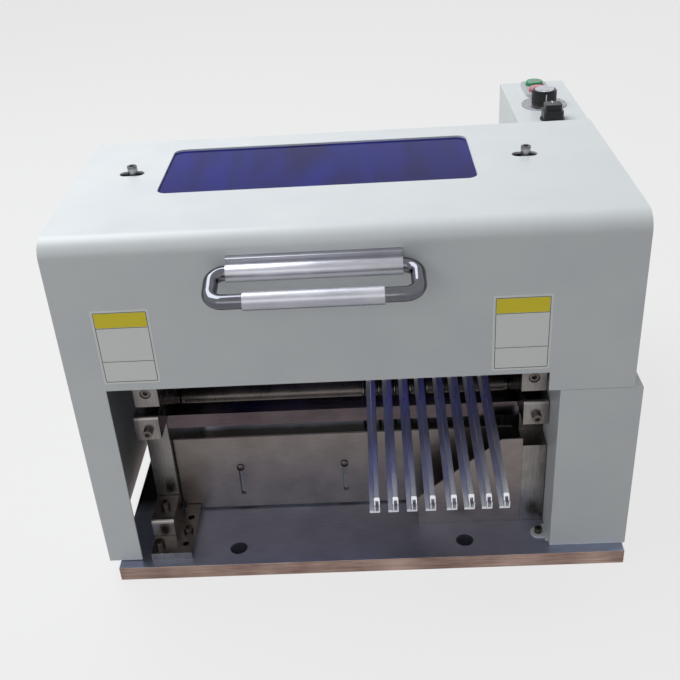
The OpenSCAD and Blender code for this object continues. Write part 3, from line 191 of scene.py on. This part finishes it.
def powder_coat(name, colour, deeper):
    """Powder coat baked on sheet steel. It gives the eye an even matt sheen that shifts a little
    over 60 mm, and orange peel of 1.6 mm that softens the highlights."""
    material, tree = new_material(name)
    where = add_node(tree, "TexCoord")
    broad = add_node(tree, "TexNoise", {
        "Vector": (where, "Object"), "Scale": per_mm(60), "Detail": 2,
        "Roughness": NOISE_ROUGHNESS})
    peel = add_node(tree, "TexNoise", {
        "Vector": (where, "Object"), "Scale": per_mm(1.6), "Detail": 2,
        "Roughness": NOISE_ROUGHNESS})
    tint = add_node(tree, "ValToRGB", {0: (broad, 0)}, [(0.3, deeper), (0.7, colour)])
    sheen = add_node(tree, "MapRange", {
        "Value": (broad, 0), "From Min": NOISE_LOW, "From Max": NOISE_HIGH,
        "To Min": 0.34, "To Max": 0.42})
    bump = add_node(tree, "Bump", {
        "Height": (peel, 0), "Distance": 0.035 * MM, "Strength": 1.0})
    shader = add_node(tree, "BsdfPrincipled", {
        "Base Color": (tint, 0), "Roughness": (sheen, 0), "Normal": (bump, 0)})
    add_node(tree, "OutputMaterial", {"Surface": (shader, 0)})
    return material


def worked_metal(name, light, dark, rough, line_mm, along, depth_mm, stain_mm=35):
    """Bare or plated metal. It gives the eye fine tool or brush lines drawn out along one way,
    which stretch the highlights, and faint stains that shift colour and gloss together."""
    material, tree = new_material(name)
    where = add_node(tree, "TexCoord")
    drawn = add_node(tree, "Mapping", {
        "Vector": (where, "Object"), "Scale": tuple(1 / s for s in along)})
    lines = add_node(tree, "TexNoise", {
        "Vector": (drawn, 0), "Scale": per_mm(line_mm), "Detail": 4,
        "Roughness": NOISE_ROUGHNESS})
    stains = add_node(tree, "TexNoise", {
        "Vector": (where, "Object"), "Scale": per_mm(stain_mm), "Detail": 3,
        "Roughness": NOISE_ROUGHNESS})
    half = add_node(tree, "Mix", {0: 0.5, "A": (lines, 0), "B": (stains, 0)})
    tint = add_node(tree, "ValToRGB", {0: (half, 0)}, [(0.35, dark), (0.65, light)])
    sheen = add_node(tree, "MapRange", {
        "Value": (half, 0), "From Min": NOISE_LOW, "From Max": NOISE_HIGH,
        "To Min": rough[0], "To Max": rough[1]})
    bump = add_node(tree, "Bump", {
        "Height": (lines, 0), "Distance": depth_mm * MM, "Strength": 1.0})
    shader = add_node(tree, "BsdfPrincipled", {
        "Base Color": (tint, 0), "Metallic": 1.0, "Roughness": (sheen, 0),
        "Normal": (bump, 0)})
    add_node(tree, "OutputMaterial", {"Surface": (shader, 0)})
    return material


def moulded_plastic(name, light, dark, rough, grain_mm=0.8, depth_mm=0.02):
    """Moulded plastic. It gives the eye an even colour, with a faint spark-eroded grain that
    keeps the highlights from being sharp."""
    material, tree = new_material(name)
    where = add_node(tree, "TexCoord")
    grain = add_node(tree, "TexNoise", {
        "Vector": (where, "Object"), "Scale": per_mm(grain_mm), "Detail": 2,
        "Roughness": NOISE_ROUGHNESS})
    broad = add_node(tree, "TexNoise", {
        "Vector": (where, "Object"), "Scale": per_mm(12), "Detail": 2,
        "Roughness": NOISE_ROUGHNESS})
    tint = add_node(tree, "ValToRGB", {0: (broad, 0)}, [(0.3, dark), (0.7, light)])
    sheen = add_node(tree, "MapRange", {
        "Value": (broad, 0), "From Min": NOISE_LOW, "From Max": NOISE_HIGH,
        "To Min": rough[0], "To Max": rough[1]})
    bump = add_node(tree, "Bump", {
        "Height": (grain, 0), "Distance": depth_mm * MM, "Strength": 1.0})
    shader = add_node(tree, "BsdfPrincipled", {
        "Base Color": (tint, 0), "Roughness": (sheen, 0), "Normal": (bump, 0)})
    add_node(tree, "OutputMaterial", {"Surface": (shader, 0)})
    return material


def tinted_acrylic(name, colour, streak):
    """Cast acrylic sheet, dyed through. It gives the eye a clear deep blue, with lighter streaks
    of painted reflection that also vary its gloss. Its IOR is below acrylic's 1.49, because a full
    reflection of the pale room would wash the blue out."""
    material, tree = new_material(name)
    where = add_node(tree, "TexCoord")
    stretched_along_y = add_node(tree, "Mapping", {"Vector": (where, "Object"), "Scale": (1, 1 / 4, 1)})
    reflection_streaks = add_node(tree, "TexNoise", {
        "Vector": (stretched_along_y, 0), "Scale": per_mm(45), "Detail": 3, "Roughness": NOISE_ROUGHNESS})
    # the lighter blue streaks are painted reflection
    tint = add_node(tree, "ValToRGB", {0: (reflection_streaks, 0)}, [(0.35, colour), (0.7, streak)])
    sheen = add_node(tree, "MapRange", {
        "Value": (reflection_streaks, 0), "From Min": NOISE_LOW, "From Max": NOISE_HIGH,
        "To Min": 0.03, "To Max": 0.09})
    shader = add_node(tree, "BsdfPrincipled", {
        "Base Color": (tint, 0), "Roughness": (sheen, 0), "Transmission Weight": 0.72,
        "IOR": 1.16, "Specular IOR Level": 0.12})
    add_node(tree, "OutputMaterial", {"Surface": (shader, 0)})
    return material


def printed_vinyl(name, colour):
    """Printed vinyl under a clear film. It gives the eye a flat colour with a slight gloss."""
    material, tree = new_material(name)
    where = add_node(tree, "TexCoord")
    film = add_node(tree, "TexNoise", {
        "Vector": (where, "Object"), "Scale": per_mm(9), "Detail": 2,
        "Roughness": NOISE_ROUGHNESS})
    sheen = add_node(tree, "MapRange", {
        "Value": (film, 0), "From Min": NOISE_LOW, "From Max": NOISE_HIGH,
        "To Min": 0.28, "To Max": 0.36})
    bump = add_node(tree, "Bump", {
        "Height": (film, 0), "Distance": 0.01 * MM, "Strength": 1.0})
    shader = add_node(tree, "BsdfPrincipled", {
        "Base Color": linear(colour), "Roughness": (sheen, 0), "Normal": (bump, 0)})
    add_node(tree, "OutputMaterial", {"Surface": (shader, 0)})
    return material


def threaded_steel(name, light, dark):
    """Cut thread on bright steel. It gives the eye rings across the screw's axis: painted
    highlight on the crests and painted shade in the roots. They are drawn 2 pi times coarser than
    the 1.5 mm pitch."""
    material, tree = new_material(name)
    where = add_node(tree, "TexCoord")
    radians_per_unit = 20    # the wave texture's own factor, per unit of its scale
    rings = add_node(tree, "TexWave", {
        "Vector": (where, "Object"), "Scale": per_mm(1.5) / radians_per_unit,
        "Distortion": 0.0}, wave_type="BANDS", bands_direction="Z", wave_profile="TRI")
    oil = add_node(tree, "TexNoise", {
        "Vector": (where, "Object"), "Scale": per_mm(4), "Detail": 3,
        "Roughness": NOISE_ROUGHNESS})
    # bright crests are painted highlight, dark roots are painted shade
    tint = add_node(tree, "ValToRGB", {0: (rings, 0)}, [(0.1, dark), (0.8, light)])
    sheen = add_node(tree, "MapRange", {
        "Value": (oil, 0), "From Min": NOISE_LOW, "From Max": NOISE_HIGH,
        "To Min": 0.25, "To Max": 0.4})
    bump = add_node(tree, "Bump", {
        "Height": (rings, 0), "Distance": 0.35 * MM, "Strength": 1.0})
    shader = add_node(tree, "BsdfPrincipled", {
        "Base Color": (tint, 0), "Metallic": 1.0, "Roughness": (sheen, 0),
        "Normal": (bump, 0)})
    add_node(tree, "OutputMaterial", {"Surface": (shader, 0)})
    return material


def make_materials():
    """Every finish of the machine. A worked metal has a light and a dark colour, the range of
    its roughness, the size of its lines in mm, the way they run and their depth in mm."""
    along_x, along_y, along_z = (40, 1, 1), (1, 40, 1), (1, 1, 40)
    round_x, any_way = (1, 30, 30), (1, 1, 1)
    return {
        # Pale, slightly cool grey, matt and even
        "grey_powder_coat": powder_coat("powder_coated_sheet", "#dee2e3", "#d8dcde"),
        # Cool blue-grey with the long lines of the grinder
        "ground_steel_plate": worked_metal(
            "ground_steel_plate", "#aeb4c8", "#8a90a4", (0.34, 0.46), 0.5, along_x, 0.006, 70),
        # Mid grey with a warm cast and a soft mirror
        "plated_steel": worked_metal(
            "nickel_plated_steel", "#918d8b", "#65615f", (0.20, 0.32), 0.4, along_z, 0.006),
        # Dark and near to a mirror
        "polished_steel": worked_metal(
            "polished_steel", "#5f5558", "#453c40", (0.12, 0.22), 0.4, along_x, 0.003),
        # Warm grey, satin, with brush lines across the machine
        "brushed_stainless": worked_metal(
            "brushed_stainless_sheet", "#8b8380", "#6f6764", (0.34, 0.46), 0.4, along_x, 0.008),
        # Silky and nearly white, with lines from front to back
        "clear_anodised_aluminium": worked_metal(
            "clear_anodised_aluminium", "#dcdde2", "#c6c7ce", (0.34, 0.46), 0.5, along_y,
            0.004),
        # Silver grey, satin, with brush lines across the machine
        "brushed_aluminium": worked_metal(
            "brushed_anodised_aluminium", "#b2b3ba", "#9a9ba3", (0.30, 0.42), 0.4, along_x,
            0.006),
        # A clear mirror with hardly a mark
        "chrome_plate": worked_metal(
            "chrome_plate", "#66676d", "#5c5d63", (0.05, 0.09), 6, any_way, 0.001),
        # Hard grey with a sharp glint
        "tool_steel": worked_metal(
            "ground_tool_steel", "#8a8c93", "#74767d", (0.18, 0.28), 0.4, along_z, 0.004),
        # Grey with the fine rings of the lathe round the X axis
        "bearing_steel": worked_metal(
            "turned_steel", "#7d7a78", "#676462", (0.22, 0.32), 0.5, round_x, 0.006),
        # Brown-grey with an oily sheen
        "blackened_steel": worked_metal(
            "black_oxide_steel", "#77716d", "#4b4644", (0.22, 0.35), 0.6, any_way, 0.004),
        # Rings with painted highlight on the crests and painted shade in the roots
        "threaded_steel": threaded_steel("threaded_steel", "#a2a3a6", "#5e5f62"),
        # Neutral grey, satin and even
        "satin_stainless": worked_metal(
            "satin_stainless_sheet", "#a3a2a1", "#8d8c8c", (0.34, 0.44), 0.4, along_y, 0.006,
            90),
        # Pale and slightly cloudy
        "zinc_plated_steel": worked_metal(
            "zinc_plated_steel", "#a7a9ad", "#85878b", (0.25, 0.38), 0.6, any_way, 0.004),
        # Brownish blotches of painted warm reflection, with the coarse lines of a saw
        "edge_steel": worked_metal(
            "sawn_edge_painted_reflection", "#b39a90", "#6b554e", (0.30, 0.42), 0.8, along_x, 0.02, 60),
        # Deep clear blue, with lighter streaks of painted reflection
        "blue_acrylic": tinted_acrylic("blue_cast_acrylic", "#0a1086", "#182abc"),
        # Blue-black and satin
        "black_plastic": moulded_plastic("black_abs", "#101418", "#0b0e11", (0.34, 0.46)),
        # Light grey and satin
        "grey_plastic": moulded_plastic("light_grey_abs", "#b9bcbf", "#aeb1b4", (0.3, 0.4)),
        # Glossy green
        "green_plastic": moulded_plastic("green_polycarbonate", "#0e8f5f", "#0a7d51",
                                         (0.15, 0.22)),
        # Glossy faded red
        "red_plastic": moulded_plastic("red_polycarbonate", "#cf6f7c", "#c0606d", (0.15, 0.22)),
        # Dull black with a coarse grain
        "belt_rubber": moulded_plastic("belt_rubber", "#1c1b1a", "#131211", (0.6, 0.8), 1.2,
                                       0.05),
        # Dark grey with a slight gloss
        "motor_enamel": moulded_plastic("motor_enamel", "#3a3d40", "#2f3235", (0.3, 0.4), 2,
                                        0.03),
        # Flat white and flat black, slightly glossy
        "white_print": printed_vinyl("white_print", "#e8e9ea"),
        "black_print": printed_vinyl("black_print", "#26272a"),
        # Pale, with a fine cloudy grain
        "spun_aluminium": worked_metal(
            "spun_aluminium", "#d2d3da", "#a9aab4", (0.18, 0.28), 0.3, any_way, 0.006, 8),
        # Almost black and dull: painted shade in the screws' cross recesses
        "painted_recess_shade": worked_metal(
            "painted_recess_shade", "#2b2a2a", "#1c1b1b", (0.4, 0.5), 0.6, any_way, 0.004),
    }


# Nodes whose finish differs from their slot's
FINISH = {"adjusting_screw_left": "threaded_steel", "adjusting_screw_right": "threaded_steel",
          "button_bezel": "grey_plastic", "upper_spacers": "blackened_steel",
          "lower_spacers": "blackened_steel", "carriage_tie_bar": "blackened_steel",
          "hinge_fixed_leaves": "zinc_plated_steel", "hinge_moving_leaves": "zinc_plated_steel",
          "hinge_pins": "zinc_plated_steel", "infeed_table": "satin_stainless"}


# ---------------------------------------------------------------- pieces

def link_piece(name, mesh, body, slot, material=None):
    """A finished piece on its body and slot; its material is the slot's unless one is given."""
    piece = bpy.data.objects.new(name, mesh)
    bpy.context.scene.collection.objects.link(piece)
    mesh.materials.clear()
    mesh.materials.append(material or materials[slot])
    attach(piece, body)
    return piece


def smooth_by_angle(mesh, degrees=SHARP_DEGREES):
    mesh.shade_smooth()
    mesh.set_sharp_from_angle(angle=math.radians(degrees))


def broken_edges(node, edge_mm):
    """The CAD node with its sharp edges broken, as a file or a deburring wheel leaves them."""
    source = nodes[node]
    shape = bmesh.new()
    shape.from_mesh(source.data)
    bmesh.ops.remove_doubles(shape, verts=shape.verts, dist=2e-6)
    bmesh.ops.dissolve_limit(shape, angle_limit=math.radians(0.3), verts=shape.verts,
                             edges=shape.edges)
    mesh = bpy.data.meshes.new(node + "_finished")
    shape.to_mesh(mesh)
    shape.free()
    for layer in list(mesh.attributes):
        if layer.name == "custom_normal":
            mesh.attributes.remove(layer)
    smooth_by_angle(mesh)
    temp = bpy.data.objects.new("temp", mesh)
    bpy.context.scene.collection.objects.link(temp)
    if edge_mm:
        bevel = temp.modifiers.new("edges", "BEVEL")
        bevel.width = edge_mm * MM
        bevel.segments = 2
        bevel.limit_method = "ANGLE"
        bevel.angle_limit = math.radians(SHARP_DEGREES)
        bevel.use_clamp_overlap = True
        bevel.harden_normals = True
    graph = bpy.context.evaluated_depsgraph_get()
    done = bpy.data.meshes.new_from_object(temp.evaluated_get(graph))
    done.name = node + "_finished"
    bpy.data.objects.remove(temp)
    if not edge_mm:
        smooth_by_angle(done)
    slot = slot_of_node[node]
    piece = link_piece(node + "_finished", done, body_of_node[node], slot,
                       materials[FINISH.get(node, slot)])
    if node == "base_plate":
        finish_base_plate(done)
    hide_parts(node)


def finish_base_plate(mesh):
    """Sawn steel with painted warm reflections on the base plate's rim but not in its holes, and
    painted shade on the plate under the hood.
    """
    low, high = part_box("base_plate")
    rim = 2 * MM
    darken_under_cutters(mesh.materials[0])
    mesh.materials.append(materials["edge_steel"])
    for face in mesh.polygons:
        inside = all(low[k] + rim < face.center[k] < high[k] - rim for k in (0, 1))
        face.material_index = int(abs(face.normal.z) < 0.5 and not inside)


# Width of each node's broken edges; the other nodes keep theirs sharp
EDGES_MM = {
    "base_plate": 0.8, "left_side_plate": 0.7, "right_side_plate": 0.7, "left_foot_plate": 0.5,
    "left_foot_block": 0.5, "crossbar_brackets": 0.5, "front_crossbar": 0.5, "guard_plate": 0.3,
    "guard_posts": 0.4, "discharge_baffle": 0.3, "right_housing": 0.7, "rear_panel": 0.5,
    "housing_rear_cover": 0.5, "hood_shell": 0.6, "upper_block_left": 0.6,
    "upper_block_right": 0.6, "carriage_tie_bar": 0.6, "top_bridges": 0.6, "hood_window": 0.4,
    "motor_bracket": 0.5, "infeed_table": 0.5, "infeed_fences": 0.5, "guide_rails": 0.2,
    "selector_knob": 0.6, "button_bezel": 0.6, "green_button": 0.5, "red_button": 0.5,
    "scale_plate": 0.3, "handle_grip": 0.5,
}


def darken_under_cutters(material):
    """Painted shade darkens the ground plates from behind the guard to the hood's rear, where the
    hood keeps the light off.
    """
    tree = material.node_tree
    shader = next(n for n in tree.nodes if n.type == "BSDF_PRINCIPLED")
    colour = shader.inputs["Base Color"].links[0].from_socket
    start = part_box("guard_plate")[1].y
    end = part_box("hood_shell")[1].y
    fade_in, fade_out, raggedness = 20 * MM, 25 * MM, 8 * MM
    where = add_node(tree, "TexCoord")
    split = add_node(tree, "SeparateXYZ", {0: (where, "Object")})
    # noise makes the edges of the painted shade ragged
    shade_edge_noise = add_node(tree, "TexNoise", {
        "Vector": (where, "Object"), "Scale": per_mm(25), "Detail": 3,
        "Roughness": NOISE_ROUGHNESS})
    ragged = add_node(tree, "Math", {0: (shade_edge_noise, 0), 1: raggedness}, operation="MULTIPLY")
    depth = add_node(tree, "Math", {0: (split, "Y"), 1: (ragged, 0)}, operation="ADD")
    front = add_node(tree, "MapRange", {"Value": (depth, 0), "From Min": start,
                                        "From Max": start + fade_in})
    back = add_node(tree, "MapRange", {"Value": (depth, 0), "From Min": end,
                                       "From Max": end - fade_out})
    share = add_node(tree, "Math", {0: (front, 0), 1: (back, 0)}, operation="MULTIPLY")
    # colour of the painted shade under the hood
    mixed = add_node(tree, "Mix", {"Factor": (share, 0), "B": linear("#2a2724")},
                     data_type="RGBA")
    tree.links.new(colour, mixed.inputs["A"])
    tree.links.new(mixed.outputs["Result"], shader.inputs["Base Color"])


def make_handle_rail():
    """The extruded rail as one smooth moulding round the tube ends, flat on the hood."""
    low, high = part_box("handle_rail")
    back = high.y
    tube_r = 8 * MM
    mid_y, mid_z = low.y + tube_r, low.z + tube_r
    arc_from, arc_to, arc_steps = 62, 248, 12    # degrees round the tube, from its top rear
    points = [(back, high.z), (mid_y + 3 * MM, high.z)]
    for i in range(arc_steps + 1):
        a = math.radians(arc_from + (arc_to - arc_from) * i / arc_steps)
        points.append((mid_y + tube_r * math.cos(a), mid_z + tube_r * math.sin(a)))
    points += [(mid_y, low.z), (back - 3 * MM, low.z), (back, low.z + 3 * MM)]
    shape = bmesh.new()
    ring = [shape.verts.new((low.x, y, z)) for y, z in points]
    face = shape.faces.new(ring)
    moved = bmesh.ops.extrude_face_region(shape, geom=[face])["geom"]
    bmesh.ops.translate(shape, verts=[v for v in moved if isinstance(v, bmesh.types.BMVert)],
                        vec=(high.x - low.x, 0, 0))
    bmesh.ops.recalc_face_normals(shape, faces=shape.faces)
    rim = [e for e in shape.edges if e.is_manifold and e.calc_face_angle(0) > math.radians(60)]
    bmesh.ops.bevel(shape, geom=rim, offset=0.4 * MM, segments=2, affect="EDGES",
                    profile=0.5)
    mesh = bpy.data.meshes.new("handle_rail_moulding")
    shape.to_mesh(mesh)
    shape.free()
    smooth_by_angle(mesh, 40)
    piece = link_piece("handle_rail_moulding", mesh, "hood", "brushed_aluminium")
    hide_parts("handle_rail")


def finish_nodes():
    """Every node in its finish. The springs keep their CAD mesh, and the handle's rail has a
    moulding of its own."""
    for node in nodes:
        if node not in ("pillar_springs", "handle_rail"):
            broken_edges(node, EDGES_MM.get(node, 0.0))
    spring = nodes["pillar_springs"]
    spring.data.materials.clear()
    spring.data.materials.append(materials["blackened_steel"])


def flat_outline(points, depth, name):
    """A thin plate from an outline in X and Z, its face at y = 0 and its back at y = depth."""
    shape = bmesh.new()
    front = [shape.verts.new((x, 0, z)) for x, z in points]
    face = shape.faces.new(front)
    moved = bmesh.ops.extrude_face_region(shape, geom=[face])["geom"]
    bmesh.ops.translate(shape, verts=[v for v in moved if isinstance(v, bmesh.types.BMVert)],
                        vec=(0, depth, 0))
    bmesh.ops.recalc_face_normals(shape, faces=shape.faces)
    mesh = bpy.data.meshes.new(name)
    shape.to_mesh(mesh)
    shape.free()
    return mesh


def rounded(width, height, radius, steps=6):
    """Outline of a centred rectangle with round corners."""
    points = []
    for quarter, (sx, sz) in enumerate([(1, 1), (-1, 1), (-1, -1), (1, -1)]):
        for i in range(steps + 1):
            a = math.pi / 2 * (quarter + i / steps)
            points.append((sx * (width / 2 - radius) + radius * math.cos(a),
                           sz * (height / 2 - radius) + radius * math.sin(a)))
    return points


def frame_outline(name, width, height, line, depth):
    """A printed border: a thin rectangular ring."""
    outer = rounded(width, height, 0.8 * MM, 2)
    inner = rounded(width - 2 * line, height - 2 * line, 0.4 * MM, 2)
    count = len(outer)
    verts = [(x, y, z) for y in (0, depth) for x, z in outer + inner]
    faces = []
    for i in range(count):
        j = (i + 1) % count
        a, b, c, d = i, j, count + j, count + i
        faces.append((a, d, c, b))
        faces.append((2 * count + a, 2 * count + b, 2 * count + c, 2 * count + d))
        faces.append((a, b, 2 * count + b, 2 * count + a))
        faces.append((d, 2 * count + d, 2 * count + c, c))
    mesh = bpy.data.meshes.new(name)
    mesh.from_pydata(verts, [], faces)
    mesh.update()
    return mesh


def make_labels():
    """Two blank label plates on the hood's face: white film, a yellow band and thin rules."""
    low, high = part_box("hood_shell")
    white = printed_vinyl("white_vinyl", "#f1f2f0")
    yellow = printed_vinyl("yellow_vinyl", "#f2df1f")
    ink = materials["black_print"]
    film_w, film_h, film_t = 52 * MM, 76.5 * MM, 0.3 * MM
    border_w, border_h, border_line = 48 * MM, 72.5 * MM, 0.55 * MM
    band_w, band_h, band_up = 46.4 * MM, 14.5 * MM, 28.2 * MM
    rule_w, rule_h, print_t = 46.9 * MM, 0.5 * MM, 0.08 * MM
    rules_up = {"rule_upper": 20.4 * MM, "rule_lower": -14.5 * MM}
    centres = {"left": (low.x + 60.5 * MM, high.z - 105.5 * MM),
               "right": (low.x + 415 * MM, high.z - 108.5 * MM)}

    def put(side, part, mesh, material, up, proud):
        x, z = centres[side]
        mesh.transform(Matrix.Translation((x, low.y - proud, z + up)))
        link_piece(f"label_{side}_{part}", mesh, "hood", "grey_powder_coat", material)

    for side in centres:
        put(side, "film", flat_outline(rounded(film_w, film_h, 1.5 * MM), film_t, "film"),
            white, 0, film_t)
        put(side, "border", frame_outline("border", border_w, border_h, border_line, print_t),
            ink, 0, film_t + print_t)
        put(side, "band", flat_outline(rounded(band_w, band_h, 0.3 * MM), print_t, "band"),
            yellow, band_up, film_t + print_t)
        for name, up in rules_up.items():
            put(side, name, flat_outline(rounded(rule_w, rule_h, 0.1 * MM), print_t, name), ink,
                up, film_t + print_t)


def revolved(name, profile, steps=64):
    """A turned piece on the Z axis from its profile of (radius, height) points."""
    shape = bmesh.new()
    ring = [shape.verts.new((r, 0, z)) for r, z in profile]
    edges = [shape.edges.new(pair) for pair in zip(ring, ring[1:])]
    bmesh.ops.spin(shape, geom=ring + edges, axis=(0, 0, 1), cent=(0, 0, 0),
                   angle=2 * math.pi, steps=steps)
    bmesh.ops.remove_doubles(shape, verts=shape.verts, dist=1e-6)
    bmesh.ops.recalc_face_normals(shape, faces=shape.faces)
    mesh = bpy.data.meshes.new(name)
    shape.to_mesh(mesh)
    shape.free()
    smooth_by_angle(mesh, 30)
    return mesh


def make_knob_cap():
    """Spun aluminium cap in the knob's top, and the white pointer line beside it."""
    low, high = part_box("speed_knob")
    centre = (low + high) / 2
    share_of_knob = 0.78
    r = share_of_knob * (high.x - low.x) / 2
    cap = revolved("cap", [(0, 0.5 * MM), (r - 1.5 * MM, 0.5 * MM), (r - 0.8 * MM, 0.9 * MM),
                           (r - 0.2 * MM, 0.8 * MM), (r, 0.3 * MM), (r, -0.5 * MM),
                           (0, -0.5 * MM)])
    cap.transform(Matrix.Translation((centre.x, centre.y, high.z)))
    link_piece("knob_cap", cap, "knob", "brushed_aluminium", materials["spun_aluminium"])
    line = flat_outline(rounded(1.2 * MM, 9 * MM, 0.4 * MM), 0.25 * MM, "line")
    line.transform(Matrix.Translation((centre.x, low.y - 0.1 * MM, centre.z + 1 * MM)))
    link_piece("knob_pointer", line, "knob", "black_plastic", materials["white_print"])


def make_selector_line():
    """White line on the selector's top, in its rear half."""
    low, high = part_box("selector_knob")
    centre = (low + high) / 2
    line = flat_outline(rounded(1.2 * MM, 6.8 * MM, 0.3 * MM), 0.6 * MM, "line")
    line.transform(Matrix.Rotation(math.pi / 2, 4, "X"))
    line.transform(Matrix.Translation((centre.x, centre.y + 5 * MM, high.z - 0.7 * MM)))
    link_piece("selector_pointer", line, "selector", "black_plastic", materials["white_print"])


def make_scale():
    """Eleven marks and plain numbers from 0 to 10 on the plate under the speed knob."""
    low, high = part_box("scale_plate")
    centre = (low + high) / 2
    first_turn, step_turn = -150, 30
    mark_r, number_r, number_h, ink_t = 17.6 * MM, 21.9 * MM, 4.2 * MM, 0.06 * MM
    for i in range(11):
        turn = math.radians(first_turn + step_turn * i)
        spin = Matrix.Translation((centre.x, centre.y, high.z)) @ Matrix.Rotation(-turn, 4, "Z")
        mark = flat_outline(rounded(0.7 * MM, 3.2 * MM, 0.2 * MM), 2 * ink_t, "mark")
        mark.transform(Matrix.Rotation(-math.pi / 2, 4, "X"))
        mark.transform(spin @ Matrix.Translation((0, mark_r, 0)))
        link_piece(f"scale_mark_{i}", mark, "frame", "brushed_aluminium",
                   materials["black_print"])
        curve = bpy.data.curves.new(f"number_{i}", "FONT")
        curve.body = str(i)
        curve.size = number_h
        curve.extrude = ink_t
        curve.align_x = "CENTER"
        curve.align_y = "CENTER"
        temp = bpy.data.objects.new("temp", curve)
        bpy.context.scene.collection.objects.link(temp)
        graph = bpy.context.evaluated_depsgraph_get()
        graph.update()
        digits = bpy.data.meshes.new_from_object(temp.evaluated_get(graph))
        bpy.data.objects.remove(temp)
        digits.transform(spin @ Matrix.Translation((0, number_r, ink_t)))
        link_piece(f"scale_number_{i}", digits, "frame", "brushed_aluminium",
                   materials["black_print"])


def pan_head(d):
    """Pan head screw, its seat at z = 0 and its head upwards, with a thin cross of painted shade
    on its head for the recess.
    """
    head_r, head_h = 0.95 * d, 0.55 * d
    mesh = revolved("head", [(0, -0.6 * d), (d / 2, -0.6 * d), (d / 2, 0), (head_r, 0),
                             (head_r, 0.45 * head_h), (0.86 * head_r, 0.8 * head_h),
                             (0.6 * head_r, head_h), (0, head_h)], 24)
    shape = bmesh.new()
    shape.from_mesh(mesh)
    for turn in (0, math.pi / 2):
        cut = bmesh.ops.create_cube(shape, size=1)["verts"]
        bmesh.ops.scale(shape, verts=cut, vec=(1.15 * head_r, 0.2 * d, 0.05 * d))
        bmesh.ops.rotate(shape, verts=cut, matrix=Matrix.Rotation(turn, 3, "Z"))
        bmesh.ops.translate(shape, verts=cut, vec=(0, 0, head_h))
        # the cross carries the painted shade of the recess
        for face in {f for v in cut for f in v.link_faces}:
            face.material_index = 1
    shape.to_mesh(mesh)
    shape.free()
    return mesh


def drive_in(name, body, d, places, axis):
    """Screws of one size at their seats, heads along the axis, each stopped at its own turn."""
    first_stop, next_stop = 23, 61
    whole = bmesh.new()
    turned = Vector((0, 0, 1)).rotation_difference(Vector(axis)).to_matrix().to_4x4()
    for i, place in enumerate(places):
        one = pan_head(d)
        one.transform(Matrix.Translation(place) @ turned
                      @ Matrix.Rotation(math.radians(first_stop + next_stop * i), 4, "Z"))
        whole.from_mesh(one)
        bpy.data.meshes.remove(one)
    mesh = bpy.data.meshes.new(name)
    whole.to_mesh(mesh)
    whole.free()
    link_piece(name, mesh, body, "plated_steel", materials["zinc_plated_steel"])
    mesh.materials.append(materials["painted_recess_shade"])


def make_screws():
    """Pan head screws in the holes of the rear cover, the inlet, the hinges and the fences."""
    low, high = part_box("housing_rear_cover")
    mid = (low.x + high.x) / 2
    beside, in_from_end = 22 * MM, 4 * MM
    drive_in("cover_screws", "frame", 4 * MM,
             [(mid + dx, high.y, z) for dx in (-beside, beside)
              for z in (low.z + in_from_end, high.z - in_from_end)], (0, 1, 0))
    low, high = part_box("power_inlet")
    beside = 20 * MM
    drive_in("inlet_screws", "frame", 3 * MM,
             [(mid + dx, high.y, (low.z + high.z) / 2) for dx in (-beside, beside)], (0, 1, 0))
    low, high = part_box("hinge_fixed_leaves")
    leaf_w, leaf_t, hole_up = 64 * MM, 1.5 * MM, 7 * MM
    drive_in("hinge_screws", "frame", 3 * MM,
             [(start + share * leaf_w, low.y + leaf_t, low.z + hole_up)
              for start in (low.x, high.x - leaf_w) for share in (0.2, 0.5, 0.8)], (0, 1, 0))
    low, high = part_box("infeed_fences")
    in_from_side, in_from_front, in_from_back, sunk = 6 * MM, 26 * MM, 30 * MM, 4 * MM
    drive_in("fence_screws", "frame", 5 * MM,
             [(x, y, high.z - sunk) for x in (low.x + in_from_side, high.x - in_from_side)
              for y in (low.y + in_from_front, high.y - in_from_back)], (0, 0, 1))


make_camera()
make_world()
make_floor()
area_light("ceiling", (-0.9, 0.35, 2.1), (0, 0, 0.2), (1.8, 1.2), 37, (0.95, 0.975, 1.0))
area_light("front_fill", (-0.6, -2.2, 1.2), (0, 0, 0.2), (1.6, 1.0), 6)
materials = make_materials()
finish_nodes()
make_labels()
make_handle_rail()
make_screws()
make_knob_cap()
make_selector_line()
make_scale()
